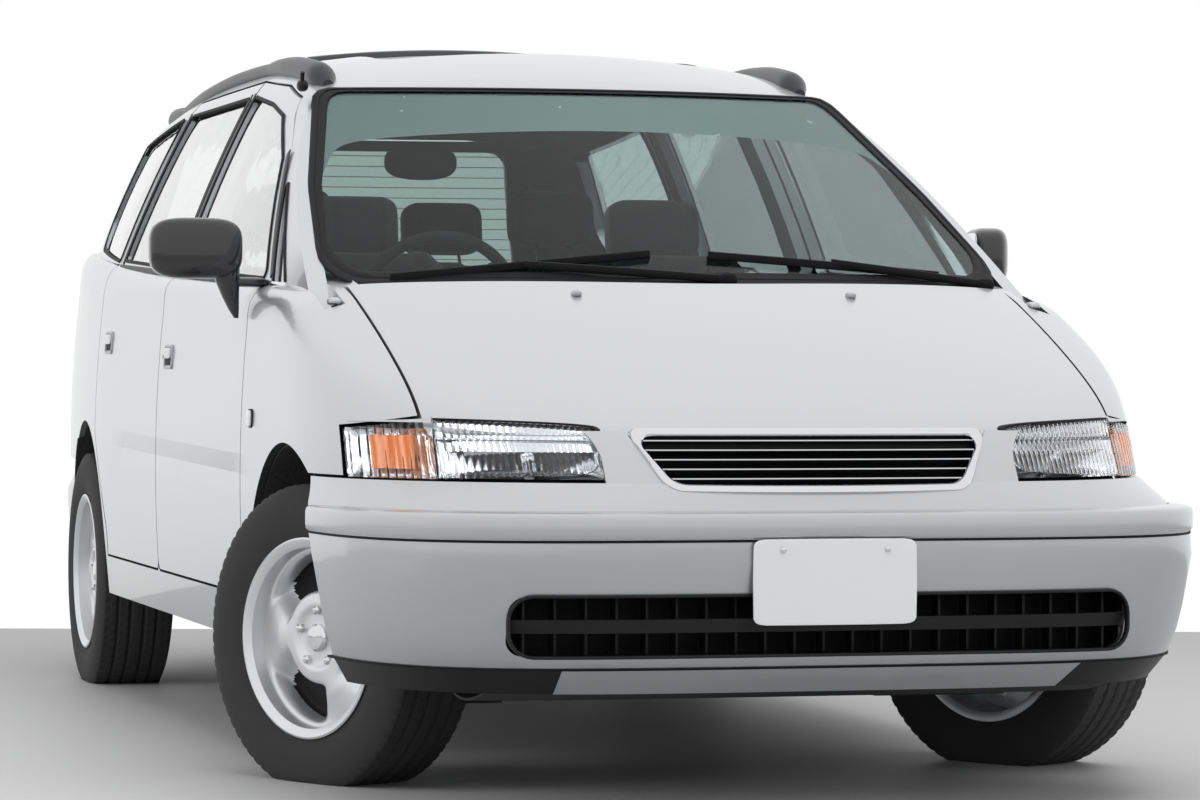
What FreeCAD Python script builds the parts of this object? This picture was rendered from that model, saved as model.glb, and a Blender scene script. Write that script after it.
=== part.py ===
import FreeCAD, Part
import math
import os
from FreeCAD import Vector

# A four-door people carrier with a top-hinged tailgate, steering on the right.
# +X is the vehicle's left, -Y is forward, +Z is up, the ground is z = 0.
# Every piece is drawn with the origin on the ground below the front axle,
# and its Placement then moves the vehicle so that the middle of its length is the origin.

SIZES = {
    "overall": dict(
        body_length=4835, wheelbase=2830, front_overhang=1000, half_width=888,
        surface_step=0.5, cut_reach=1400, panel_gap=6, seat_gap=0.3,
    ),
    "lower_body": dict(
        bulge_height=620, belt_height=1020, shoulder_tuck=22, taper_start=2400,
        taper_length=1000, taper_tuck=58, nose_reach=847, nose_height=755, nose_skirt_height=600,
        belt_front_back=298, belt_front_height=1024, belt_rear_back=2923, belt_rear_height=1124,
        belt_edge_half=850, post_thick=30, post_depth=110, post_head_half=556,
        post_head_height=1586, door_roof_half=600, frame_relief=12,
        fender_blend=26, belt_blend=8, crease_blend=12,
        sill_bottom_height=262, wall_thick=58, fender_thick=16,
        fan_step=180, fan_tail_back=300, fan_depth=330,
    ),
    "hood_form": dict(
        hood_mid_back=-150, hood_mid_height=1040, hood_nose_back=-855, hood_nose_height=752,
        hood_front_back=-633, hood_front_height=855, hood_side_half=728, hood_crown_front=86,
        hood_crown_rear=64, hood_corner_back=54, hood_rear_half=733, hood_front_half=719,
        hood_edge_reach=846, hood_thick=24, hood_grid_half=760, hood_grid_margin=12,
        hood_grid_foot=560,
    ),
    "greenhouse": dict(
        glass_foot_half=852, glass_foot_height=1025, cant_half=664, cant_height=1490,
        roof_height=1655, roof_crest_back=2050, roof_front_drop=134, roof_front_run=1200,
        roof_rear_drop=85, roof_rear_run=1500, roof_crown=58, roof_crown_half=620,
        cant_blend=28, pillar_thick=36, arch_spine_height=900,
        screen_taper_start=1400, screen_taper_run=1000, screen_taper_tuck=29,
        screen_foot_back=-96, screen_foot_height=1039, screen_run=946, screen_rise=482,
        screen_sag=190, screen_sag_half=736, tail_back=3792, tail_height=820,
        tail_lean_height=1080, tail_lean_run=250, tail_lean_rise=520, tail_bow=70,
        tail_bow_half=700, tail_blend=46, arch_tail_margin=110, tail_grid_margin=90,
        tail_grid_foot=420, tail_grid_top=1524,
    ),
    "openings": dict(
        door_front=446, door_mid=1577, door_foot=366, door_top=1556, door_corner=26,
        divider_foot_rise=26, divider_top=755, divider_top_height=1354, door_header_front=1003,
        door_header_front_height=1484, door_header_mid=1200, door_header_mid_height=1524,
        door_arch_land=38, rear_door_top_back=2510, rear_door_back=2592,
        rear_door_arch_height=690, rear_door_low_height=430, door_arch_round=60,
        window_round=38, window_top=1520, frame_width=38, window_sill_rise=26,
        quarter_front_foot=300, quarter_rear_front=2600, quarter_rear_back=3340,
        glass_thick=4, glass_inset=7, screen_thick=6, screen_foot_half=772,
        screen_mid_half=716, screen_head_half=618, screen_foot_z=1042, screen_mid_z=1264,
        screen_head_z=1506, screen_round=60, tailgate_half=628, tailgate_foot=600,
        tailgate_head=1518, tailgate_head_half=520, tailgate_thick=34, tailgate_round=60,
        rear_window_half=560, rear_window_head_half=470, rear_window_foot=1085,
        rear_window_head=1490, sunroof_front=1240, sunroof_back=1850, sunroof_half=400,
        sunroof_round=50, sunroof_slide=860, sunroof_lift=22, sunroof_thick=6,
    ),
    "nose": dict(
        lamp_inner=422, lamp_outer=704, lamp_foot=652, lamp_inner_round=34, lamp_round=8,
        lens_thick=5, corner_lamp_outer=838, corner_lamp_top=742, corner_lamp_foot=646,
        grille_half=366, grille_foot_half=300, grille_top=741, grille_foot=632,
        grille_bar_count=5, grille_bar=9, grille_depth=26, grille_rim=12,
        bumper_top=642, bumper_foot=238, bumper_thick=14, bumper_arch_back=-250,
        bumper_half=905, bumper_side_tuck=50, bumper_front_tuck=90, bumper_reach=1002,
        intake_half=628, intake_top=430, intake_foot=314,
        intake_bar=26, plate_centre_height=455,
        plate_hole_spacing=210, plate_hole=3.5,
        tail_lamp_foot=690, tail_lamp_top=1040, tail_lamp_front=3560, rail_front=1010, rail_back=3300,
        rail_radius=14, rail_rise=26, rail_foot_length=110, cowl_height=1012, cowl_depth=30,
        cowl_thick=12, mirror_width=205, mirror_height=133, mirror_depth=95, mirror_low=1054,
        mirror_back=470, mirror_foot_half=880, mirror_seat_half=850, mirror_foot_height=968,
        mirror_fold=79, rear_bumper_foot=270, rear_bumper_top=590, rear_bumper_thick=14,
    ),
    "cabin": dict(
        floor_height=300, floor_thick=30, firewall_back=190, firewall_thick=30,
        floor_half=760, floor_back=3660, rear_floor_half=600, rear_floor_front=2440,
        firewall_shoulder_half=728, firewall_shoulder_height=930,
        cargo_floor_height=470, wheel_space_back=392, wheel_space_top=650, dash_back=560,
        dash_top=1000, dash_foot=640,
        dash_half=740, seat_width=500, seat_depth=500, 
        cushion_top=690, seat_back_top=1180, headrest_top=1330, seat_back_thick=110,
        front_seat_back=860, front_seat_side=390, middle_seat_back=1800, rear_seat_back=2720,
        headrest_width=250, headrest_thick=90, steering_radius=190, steering_ring=15,
        steering_back=705, steering_side=-390, steering_height=985, steering_hub=60,
        column_radius=24, column_length=150, steering_tilt=24, dash_edge_round=5,
        dash_round=60, dash_shelf=120, dash_fall=90, dash_knee_round=40, dash_foot_round=30,
        cushion_round=40, seat_round=20, seat_dip=70, headrest_sink=10,
    ),
    "running_gear": dict(
        engine_width=900, engine_depth=420, engine_height=430, engine_foot=330,
        engine_front=-330, crossmember_half=485, crossmember_height=40, crossmember_foot=205,
        crossmember_front=-120, crossmember_depth=300, arm_thick=30, arm_width=70,
        knuckle_half_width=22, knuckle_drop=115, knuckle_rise=145, steering_arm=140,
        tower_inner=455, tower_outer=485, rail_low=490, rail_high=560, rail_nose=-800,
        carrier_back=-580, carrier_thick=20, carrier_half=680, carrier_low=330, carrier_high=700,
        axle_beam_radius=34, axle_stub_radius=24, tank_width=620, tank_depth=700,
        axle_inboard=210, link_length=420, tank_height=180, tank_front=1650,
    ),
    "wheels": dict(
        wheel_centre_height=300, tyre_radius=323, tyre_width=205, rim_radius=198,
        rim_flange_radius=208, rim_width=182, front_track=1545, rear_track=1560,
        kingpin_inboard=86, dish_depth=34,
        hub_radius=70, disc_radius=138, disc_thick=24, barrel_thick=9, spoke_thick=20,
        window_inner_round=18, window_outer_round=30,
        arch_half_length=430, arch_rise=405, front_arch_back=-45,
        rear_arch_half_length=402, rear_arch_rise=410, steer_left=32, steer_right=28,
    ),
}

# Shares and angles: pure numbers that shape the curves.
NOSE_ROUNDNESS_SHARE = 2.8
NOSE_LEAN_SHARE = 0.70
BUMPER_ROUNDNESS_SHARES = (2.9, 3.6, 4.4, 4.5, 4.4, 4.3, 4.2, 4.1, 4.0)
# How far the bumper's side and front draw in at even steps down, in tuck depths.
BUMPER_SIDE_SHARES = (0.42, 0.10, -0.04, -0.04, 0.02, 0.10, 0.24, 0.48, 1.0)
BUMPER_FRONT_SHARES = (0.80, 0.40, 0, -0.03, 0.07, 0.16, 0.27, 0.47, 1.0)
HOOD_CROWN_SHARE = 2.4
HOOD_REAR_SHARE = 0.3
GLASS_STRAIGHT_SHARE = 0.743
ROOF_FRONT_SHARE = 3.3
ROOF_REAR_SHARE = 1.6
BELT_TILT_SHARE = 0.35
RAIL_TURN = math.radians(42)
FRONT_BUMPER_TURN, REAR_BUMPER_TURN = math.radians(78), math.radians(84)
RAIL_SIDES_SHARE, RING_SIDES_SHARE = 6, 8



def make_sheet(document):
    """Put every named size into the spreadsheet, one row each, and return the sheet."""
    sheet = document.addObject("Spreadsheet::Sheet", "sizes")
    row = 1
    for group in SIZES.values():
        for name, value in group.items():
            sheet.set(f"A{row}", name)
            sheet.set(f"B{row}", str(value))
            sheet.setAlias(f"B{row}", name)
            row += 1
    document.recompute()
    return sheet


class Sizes:
    """The sheet's sizes as plain numbers, one attribute for each alias."""

    def __init__(self, sheet):
        for group in SIZES.values():
            for name in group:
                setattr(self, name, float(sheet.get(name)))


document = FreeCAD.newDocument("people_carrier")
sheet = make_sheet(document)
size = Sizes(sheet)
ACROSS, ALONG, UP = Vector(1, 0, 0), Vector(0, 1, 0), Vector(0, 0, 1)
ORIGIN = Vector(0, 0, 0)


def soft_min(values, blend):
    """The smallest value, rounded where two of them are about equal."""
    least = min(values)
    return least - blend * math.log(sum(math.exp((least - value) / blend) for value in values))


def ramp(value, low, high):
    """0 below low, 1 above high, and a smooth S between."""
    share = min(max((value - low) / (high - low), 0), 1)
    return share * share * (3 - 2 * share)


class BodyForm:
    """The outer surface as a field that is positive inside, in the axle's own frame."""

    def taper(self, y):
        """How far the plan narrows towards the tail, as a factor."""
        behind = max(y - size.taper_start, 0) / size.taper_length
        return 1 - size.taper_tuck / size.half_width * behind * behind

    def wall_half(self, z):
        """Half-width of the bulged side at a height."""
        rise = (z - size.bulge_height) / (size.belt_height - size.bulge_height)
        return size.half_width - size.shoulder_tuck * rise * rise

    def nose_reach(self, z):
        """How far the nose stands ahead of the front axle at a height."""
        held = max(z, size.nose_skirt_height)
        return size.nose_reach + NOSE_LEAN_SHARE * (size.nose_height - held)

    def wall(self, x, y, z):
        """Depth inside the side and nose wall."""
        half = self.wall_half(z)
        if y >= 0:
            return half * self.taper(y) - abs(x)
        across = (abs(x) / half) ** NOSE_ROUNDNESS_SHARE
        ahead = (-y / self.nose_reach(z)) ** NOSE_ROUNDNESS_SHARE
        return half * (1 - (across + ahead) ** (1 / NOSE_ROUNDNESS_SHARE))

    def hood_height(self, x, y):
        """Height of the hood's surface: a curved centre line with a crown across."""
        behind = max(y - size.belt_front_back, 0)
        y = min(y, size.belt_front_back)
        first, second, third = size.hood_mid_back, size.hood_front_back, size.hood_nose_back
        weights = (
            (y - second) * (y - third) / ((first - second) * (first - third)),
            (y - first) * (y - third) / ((second - first) * (second - third)),
            (y - first) * (y - second) / ((third - first) * (third - second)),
        )
        heights = (size.hood_mid_height, size.hood_front_height, size.hood_nose_height)
        centre = sum(weight * height for weight, height in zip(weights, heights))
        along = (y - size.hood_front_back) / (size.hood_corner_back - size.hood_front_back)
        crown = size.hood_crown_front + along * (size.hood_crown_rear - size.hood_crown_front)
        lift = behind * HOOD_REAR_SHARE
        return centre + lift - crown * (abs(x) / size.hood_side_half) ** HOOD_CROWN_SHARE

    def belt(self, y):
        """Height of the belt line, which rises gently to the rear."""
        along = (y - size.belt_front_back) / (size.belt_rear_back - size.belt_front_back)
        return size.belt_front_height + along * (size.belt_rear_height - size.belt_front_height)

    def shelf_height(self, x, y):
        """Height of the ledge that closes the lower body at the belt."""
        return self.belt(y) + BELT_TILT_SHARE * (size.belt_edge_half - abs(x))

    def tail_reach(self, x, z):
        """How far back the tail lies: bowed across, leaning forward above the belt."""
        bow = size.tail_bow * (abs(x) / size.tail_bow_half) ** 2
        above = max(z - size.tail_lean_height, 0) / size.tail_lean_rise
        lean = size.tail_lean_run * above ** 1.3
        below = (z - size.tail_height) / size.tail_height
        return size.tail_back - bow - lean - size.tail_bow * below * below / 2

    def lower(self, x, y, z):
        """Depth inside the lower body: hood, fenders, sides and tail."""
        top = soft_min([self.hood_height(x, y), self.shelf_height(x, y)], size.crease_blend)
        rear = ramp(y, size.hood_mid_back, size.belt_front_back)
        blend = size.fender_blend + rear * (size.belt_blend - size.fender_blend)
        inside = soft_min([self.wall(x, y, z), top - z], blend)
        return soft_min([inside, self.tail_reach(x, z) - y], size.tail_blend)

    def glass_half(self, y, z):
        """Half-width of the side glass, leaning in more towards the roof."""
        rise = (z - size.glass_foot_height) / (size.cant_height - size.glass_foot_height)
        lean = GLASS_STRAIGHT_SHARE * rise + (1 - GLASS_STRAIGHT_SHARE) * rise * abs(rise)
        half = size.glass_foot_half - (size.glass_foot_half - size.cant_half) * lean
        ahead = max(size.screen_taper_start - y, 0) / size.screen_taper_run
        return half * self.taper(y) - size.screen_taper_tuck * ahead * ahead

    def roof_surface(self, x, y):
        """Height of the roof: a crowned arc that drops to the screen and to the tail."""
        crown = size.roof_crown * (abs(x) / size.roof_crown_half) ** 2
        if y < size.roof_crest_back:
            along = (size.roof_crest_back - y) / size.roof_front_run
            past = ROOF_FRONT_SHARE * max(along - 1, 0)
            drop = size.roof_front_drop * (min(along, 1) ** ROOF_FRONT_SHARE + past)
            return size.roof_height - crown - drop
        along = (y - size.roof_crest_back) / size.roof_rear_run
        return size.roof_height - crown - size.roof_rear_drop * along ** ROOF_REAR_SHARE

    def upper(self, x, y, z):
        """Depth inside the greenhouse, before the windscreen cuts it."""
        side = self.glass_half(y, z) - abs(x)
        roof = self.roof_surface(x, y) - z
        inside = soft_min([side, roof], size.cant_blend)
        return soft_min([inside, self.tail_reach(x, z) - y], size.tail_blend)

    def screen_back(self, x, z):
        """Where the windscreen lies: a leaning plane swept back towards its sides."""
        slope = size.screen_run / size.screen_rise
        sweep = size.screen_sag * (x / size.screen_sag_half) ** 2
        return size.screen_foot_back + (z - size.screen_foot_height) * slope + sweep


form = BodyForm()


def cast(depth, start, direction, inset=0):
    """The point where a ray comes within inset of the field's edge, found by halving."""
    low, high = 0.0, size.cut_reach
    while high - low > size.surface_step / 100:
        middle = (low + high) / 2
        point = start + direction * middle
        if depth(point.x, point.y, point.z) > inset:
            low = middle
        else:
            high = middle
    return start + direction * low


def steps(low, high, count):
    """Evenly spaced values with both ends."""
    return [low + (high - low) * index / (count - 1) for index in range(count)]


def smooth_face(rows):
    """The smooth surface through a grid of points."""
    smooth = Part.BSplineSurface()
    smooth.interpolate(rows)
    return smooth


def closed_between(outer, inner):
    """The solid between two surfaces of like bounds, closed by ruled edges."""
    faces = [outer.toShape(), inner.toShape()]
    low_u, high_u, low_v, high_v = outer.bounds()
    for bound in (low_u, high_u):
        faces.append(Part.makeRuledSurface(outer.uIso(bound).toShape(), inner.uIso(bound).toShape()))
    for bound in (low_v, high_v):
        faces.append(Part.makeRuledSurface(outer.vIso(bound).toShape(), inner.vIso(bound).toShape()))
    shell = Part.makeShell(faces)
    shell.sewShape()
    solid = Part.makeSolid(shell)
    if solid.Volume < 0:
        solid.reverse()
    return solid


class Sheet:
    """A grid of rays through the field, from which skins of any depth are made."""

    def __init__(self, depth, rays):
        self.depth = depth
        self.rays = rays

    def surface(self, inset):
        """The smooth surface that lies inset below the field's edge."""
        rows = [[cast(self.depth, start, aim, inset) for start, aim in row] for row in self.rays]
        return smooth_face(rows)

    def skin(self, thick, inset=0):
        """The solid between the surface at inset and the one that lies thick below it."""
        return closed_between(self.surface(inset), self.surface(inset + thick))


def fan_rays():
    """Rays through the left side from the nose's centre round to the tail's centre."""
    plans = []
    for angle in steps(0, math.pi / 2, 14):
        plans.append((ORIGIN, Vector(math.sin(angle), -math.cos(angle), 0)))
    tail_centre = size.wheelbase + size.fan_tail_back
    for y in steps(size.fan_step, tail_centre - size.fan_step, 11):
        plans.append((Vector(0, y, 0), ACROSS))
    for angle in steps(math.pi / 2, math.pi * 0.93, 11):
        plans.append((Vector(0, tail_centre, 0), Vector(math.sin(angle), -math.cos(angle), 0)))
    rows = []
    for centre, heading in plans:
        level = centre + UP * size.bulge_height
        edge = cast(form.lower, level, heading)
        start = edge - heading * size.fan_depth
        row = []
        for angle in steps(math.radians(-52), math.radians(70), 26):
            aim = heading * math.cos(angle) + UP * math.sin(angle)
            row.append((start, aim))
        rows.append(row)
    return rows


def hood_rays():
    """Rays through the hood and the fender tops, from the nose to behind the cowl."""
    rows = []
    for x in steps(-size.hood_grid_half, size.hood_grid_half, 21):
        half = size.half_width - size.fender_blend
        across = (abs(x) / half) ** NOSE_ROUNDNESS_SHARE
        nose = -size.hood_edge_reach * (1 - across) ** (1 / NOSE_ROUNDNESS_SHARE)
        row = []
        for y in steps(nose - size.hood_grid_margin, size.belt_front_back, 15):
            row.append((Vector(x, y, size.hood_grid_foot), UP))
        rows.append(row)
    return rows


def arch_rays():
    """Rays through the greenhouse: an arch over the cabin at each station."""
    stations = steps(-size.fan_step / 3, size.tail_back - 3 * size.fan_step, 19)
    stations += steps(size.tail_back - 2.4 * size.fan_step, size.tail_back - size.arch_tail_margin, 6)
    rows = []
    for y in stations:
        start = Vector(0, y, size.arch_spine_height)
        row = []
        for angle in steps(math.radians(2.5), math.radians(177.5), 49):
            aim = ACROSS * math.cos(angle) + UP * math.sin(angle)
            row.append((start, aim))
        rows.append(row)
    return rows


def tail_depth(x, y, z):
    """Depth inside the whole body near the tail."""
    if z < size.belt_height:
        return form.lower(x, y, z)
    return max(form.lower(x, y, z), form.upper(x, y, z))


def tail_rays():
    """Rays through the tail, seen from behind."""
    rows = []
    for z in steps(size.tail_grid_foot, size.tail_grid_top, 21):
        level = Vector(0, size.tail_back - 2 * size.tail_lean_run, z)
        edge = cast(tail_depth, level, ACROSS).x - size.tail_grid_margin
        row = []
        for share in steps(-1, 1, 21):
            start = Vector(edge * share, size.wheelbase, z)
            row.append((start, ALONG))
        rows.append(row)
    return rows


def screen_surface(reach, inset=0):
    """The windscreen's surface over a wide area, moved back by inset along the vehicle."""
    rows = []
    for x in steps(-size.half_width - reach, size.half_width + reach, 13):
        row = []
        for z in steps(size.arch_spine_height - reach, size.roof_height + reach, 3):
            row.append(Vector(x, form.screen_back(x, z) + inset, z))
        rows.append(row)
    return smooth_face(rows).toShape()


def outline(corners, place):
    """A closed wire through corners (a, b, radius), each rounded by its radius."""
    edges = []
    count = len(corners)
    ends = []
    for index, (a, b, radius) in enumerate(corners):
        here = Vector(a, b, 0)
        before = Vector(*corners[index - 1][:2], 0)
        after = Vector(*corners[(index + 1) % count][:2], 0)
        back, ahead = (before - here).normalize(), (after - here).normalize()
        if radius == 0:
            ends.append((here, here, None))
            continue
        half_turn = back.getAngle(ahead) / 2
        reach = radius / math.tan(half_turn)
        middle = (back + ahead).normalize() * (radius / math.sin(half_turn) - radius)
        ends.append((here + back * reach, here + ahead * reach, here + middle))
    for index, (first, last, middle) in enumerate(ends):
        if middle is not None:
            edges.append(Part.Arc(place(first), place(middle), place(last)).toShape())
        following = ends[(index + 1) % count][0]
        if (following - last).Length > size.surface_step / 10:
            edges.append(Part.LineSegment(place(last), place(following)).toShape())
    return Part.Wire(edges)


def side_prism(corners, low, high):
    """A prism across the vehicle from an outline seen from the side, in (back, up)."""
    wire = outline(corners, lambda point: Vector(low, point.x, point.y))
    return Part.Face(wire).extrude(ACROSS * (high - low))


def front_prism(corners, low, high):
    """A prism along the vehicle from an outline seen from the front, in (across, up)."""
    wire = outline(corners, lambda point: Vector(point.x, low, point.y))
    return Part.Face(wire).extrude(ALONG * (high - low))


def plan_prism(corners, low, high):
    """An upright prism from an outline seen from above, in (across, back)."""
    wire = outline(corners, lambda point: Vector(point.x, point.y, low))
    return Part.Face(wire).extrude(UP * (high - low))


def box(low_x, high_x, low_y, high_y, low_z, high_z):
    """A box between its low and high faces."""
    corner = Vector(low_x, low_y, low_z)
    return Part.makeBox(high_x - low_x, high_y - low_y, high_z - low_z, corner)


def largest(shape):
    """The biggest solid of a shape."""
    return max(shape.Solids, key=lambda solid: solid.Volume)


def mirrored(shape):
    """The same shape on the other side of the middle plane."""
    return shape.mirror(ORIGIN, ACROSS)


def across_cylinder(radius, x, y, z, length):
    """A cylinder along X that starts at x."""
    return Part.makeCylinder(radius, length, Vector(x, y, z), ACROSS)


# The shared sheets and skins

side_sheet = Sheet(form.lower, fan_rays())
hood_sheet = Sheet(form.lower, hood_rays())
arch_sheet = Sheet(form.upper, arch_rays())
tail_sheet = Sheet(tail_depth, tail_rays())
wall_skin = side_sheet.skin(size.wall_thick)
wing_skin = side_sheet.skin(size.fender_thick)
arch_skin = arch_sheet.skin(size.pillar_thick)

FAR = size.cut_reach
GAP = size.panel_gap
NEAR = size.seat_gap
body_end = size.body_length - size.front_overhang

SHAPES = {}


def keep(name, shape):
    """Note a finished shape under its node's name."""
    SHAPES[name] = shape
    return shape


def door_outline(grow, relief=0):
    """The front door's outline seen from the side, grown by a gap; relief frees its swinging head."""
    return [
        (size.door_front - grow, size.door_foot - grow, size.door_corner),
        (size.door_front - grow, size.belt_height + size.divider_foot_rise, 0),
        (size.divider_top - grow, size.divider_top_height, 0),
        (size.door_header_front, size.door_header_front_height + grow, 0),
        (size.door_header_mid, size.door_header_mid_height + grow, 0),
        (size.door_mid + grow - relief, size.door_top + grow, 0),
        (size.door_mid + grow, size.belt_height, 0),
        (size.door_mid + grow, size.door_foot - grow, size.door_corner),
    ]


def rear_door_outline(grow, relief=0):
    """The rear door's outline seen from the side, cut round the wheel arch."""
    arch = size.rear_arch_half_length + size.door_arch_land - grow
    low_back = size.wheelbase - arch
    return [
        (size.door_mid + GAP - grow, size.door_foot - grow, size.door_corner),
        (size.door_mid + GAP - grow, size.door_top + grow, 0),
        (size.rear_door_top_back + grow - relief, size.door_top + grow, 0),
        (size.rear_door_back + grow, size.belt_rear_height - GAP * 2, 0),
        (size.rear_door_back + grow, size.rear_door_arch_height, size.door_arch_round),
        (low_back + grow, size.rear_door_low_height, size.door_arch_round),
        (low_back + grow, size.door_foot - grow, 0),
    ]


def arch_tool(centre_back, half_length, rise, reach):
    """An elliptic cylinder through one side, which cuts a wheel arch."""
    unit = Part.makeCylinder(rise, reach, Vector(size.floor_half - reach / 3, 0, 0), ACROSS)
    stretch = FreeCAD.Matrix()
    stretch.scale(1, half_length / rise, 1)
    tool = unit.transformGeometry(stretch)
    tool.translate(Vector(0, centre_back, size.wheel_centre_height))
    return tool


front_arch = arch_tool(size.front_arch_back, size.arch_half_length, size.arch_rise, FAR / 3)
rear_arch = arch_tool(size.wheelbase, size.rear_arch_half_length, size.rear_arch_rise, FAR / 3)

door_tools = {}
for grow, relief, label in ((0, size.frame_relief, "panel"), (GAP, 0, "cut")):
    low = size.door_roof_half - grow
    door_tools["front", label] = side_prism(door_outline(grow, relief), low, FAR)
    door_tools["rear", label] = side_prism(rear_door_outline(grow, relief), low, FAR)

ledge_half = size.glass_foot_half - 2 * size.pillar_thick
ledge_front, ledge_back = size.belt_front_back - size.fan_step, size.tail_back - 2 * size.fan_step
ledge_corners = [(0, ledge_back, 0), (0, ledge_front, 0), (ledge_half, ledge_front, 0)]
for y in steps(size.taper_start, ledge_back, 5):
    ledge_corners.append((ledge_half * form.taper(y), y, 0))
belt_top_cut = plan_prism(ledge_corners, size.arch_spine_height, size.roof_height)


def door_windows(grow):
    """The window outlines of the front and rear doors."""
    rise = size.window_sill_rise
    front_low = form.belt(size.door_front) + rise
    mid_low = form.belt(size.door_mid) + rise
    rear_low = form.belt(size.rear_door_back) + rise
    frame = size.frame_width
    front = [
        (size.door_front + frame * 1.4 - grow, front_low - grow, size.window_round / 3),
        (size.divider_top + frame * 0.9 - grow, size.divider_top_height - frame / 2, 0),
        (size.door_header_front + frame / 2, size.door_header_front_height - frame + grow,
         size.window_round * 2),
        (size.door_header_mid + frame, size.door_header_mid_height - frame + grow, 0),
        (size.door_mid - frame + grow, size.window_top + grow, size.window_round / 2),
        (size.door_mid - frame + grow, mid_low - grow, size.window_round / 3),
    ]
    rear = [
        (size.door_mid + frame - grow, mid_low - grow, size.window_round / 3),
        (size.door_mid + frame - grow, size.window_top + grow, size.window_round / 2),
        (size.rear_door_top_back - frame * 2 + grow, size.window_top + grow, size.window_round / 2),
        (size.rear_door_back - frame * 2.2 + grow, rear_low - grow, size.window_round / 3),
    ]
    return front, rear


window_tools = {}
for label, corners in zip(("front", "rear"), door_windows(0)):
    window_tools[label] = side_prism(corners, 0, FAR)
for label, corners in zip(("front", "rear"), door_windows(-NEAR)):
    window_tools[label, "glass"] = side_prism(corners, 0, FAR)

screen_tool = screen_surface(size.fan_step, size.screen_thick + NEAR).extrude(ALONG * -FAR * 2)

foot_line = size.belt_height - size.wall_thick
below_belt = side_prism([
    (-FAR, 0, 0), (-FAR, foot_line, 0), (size.door_front, foot_line, 0),
    (size.door_front, form.belt(size.door_front) - GAP * 2, 0),
    (size.body_length, form.belt(size.body_length) - GAP * 2, 0), (size.body_length, 0, 0),
], -FAR, FAR)
glass_skin = arch_sheet.skin(size.glass_thick, size.glass_inset)
wall_over_belt = wall_skin.cut(belt_top_cut)


def make_doors():
    """The doors with their window frames, and the glass in each."""
    for label in ("front", "rear"):
        lower = wall_over_belt.common(door_tools[label, "panel"])
        upper = arch_skin.common(door_tools[label, "panel"])
        upper = upper.cut(below_belt)
        door = lower.fuse(upper).cut(window_tools[label]).cut(screen_tool)
        if label == "rear":
            door = door.cut(arch_tool(size.wheelbase, size.rear_arch_half_length + GAP,
                                      size.rear_arch_rise + GAP, FAR / 3))
        door = largest(door)
        pane = largest(glass_skin.common(window_tools[label, "glass"]))
        for side, turn in (("left", lambda shape: shape), ("right", mirrored)):
            keep(f"door_{label}_{side}", turn(door))
            keep(f"door_glass_{label}_{side}", turn(pane))


def quarter_outlines(grow):
    """The fixed side windows: a triangle ahead of the front door and one behind the rear door."""
    rise, frame = size.window_sill_rise, size.frame_width
    front_low = form.belt(size.quarter_front_foot) + rise / 4
    rear_low = form.belt(size.quarter_rear_back) + rise * 2
    middle_low = form.belt(size.quarter_rear_front) + rise
    front = [
        (size.quarter_front_foot - grow * 3.2, front_low - grow, size.window_round / 5),
        (size.divider_top - frame * 1.5 + grow * 10, size.divider_top_height - frame * 0.65 + grow * 9,
         size.window_round / 5),
        (size.door_front - frame * 0.75 + grow, front_low + rise / 3 - grow, size.window_round / 5),
    ]
    rear = [
        (size.quarter_rear_front + frame / 2 - grow, middle_low - grow, size.window_round / 2),
        (size.quarter_rear_front - frame - grow, size.window_top + grow, size.window_round / 2),
        (size.quarter_rear_back - frame * 3 + grow, size.window_top - frame * 1.2 + grow, size.window_round),
        (size.quarter_rear_back + grow, rear_low - grow, size.window_round * 2),
    ]
    return front, rear


def post_outline(y):
    """The middle door post's outline seen from the front, inside the doors' inner faces."""
    reach, thick = size.wall_thick + 2 * GAP, size.post_thick
    shelf, belt = form.belt(y) - reach, form.belt(y)
    neck = size.glass_foot_half - 2 * size.pillar_thick - 3 * GAP
    outer = [(form.wall_half(z) - reach, z) for z in steps(size.sill_bottom_height, shelf - GAP * 3, 5)]
    outer += [(neck, shelf - GAP), (neck, belt + GAP * 2)]
    for z in steps(belt + GAP * 6, size.door_top, 5):
        outer.append((form.glass_half(y, z) - size.pillar_thick - 2 * GAP, z))
    outer.append((size.post_head_half, size.post_head_height))
    inner = [(x - thick, z) for x, z in outer]
    return [(x, z, 0) for x, z in outer + inner[::-1]]


sill_inner = form.wall_half(size.sill_bottom_height) - size.wall_thick - 2 * GAP - size.post_thick


def front_post_outline():
    """The hinge post's outline seen from the front, behind the fender."""
    top = form.belt(size.belt_front_back) - size.fender_thick - 2 * GAP
    outer = [(form.wall_half(z) - size.fender_thick - GAP, z) for z in steps(size.sill_bottom_height, top, 5)]
    inner = size.half_width - size.wall_thick - GAP - size.post_thick
    return [(x, z, 0) for x, z in outer] + [(inner, top, 0), (inner, size.sill_bottom_height, 0)]


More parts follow.
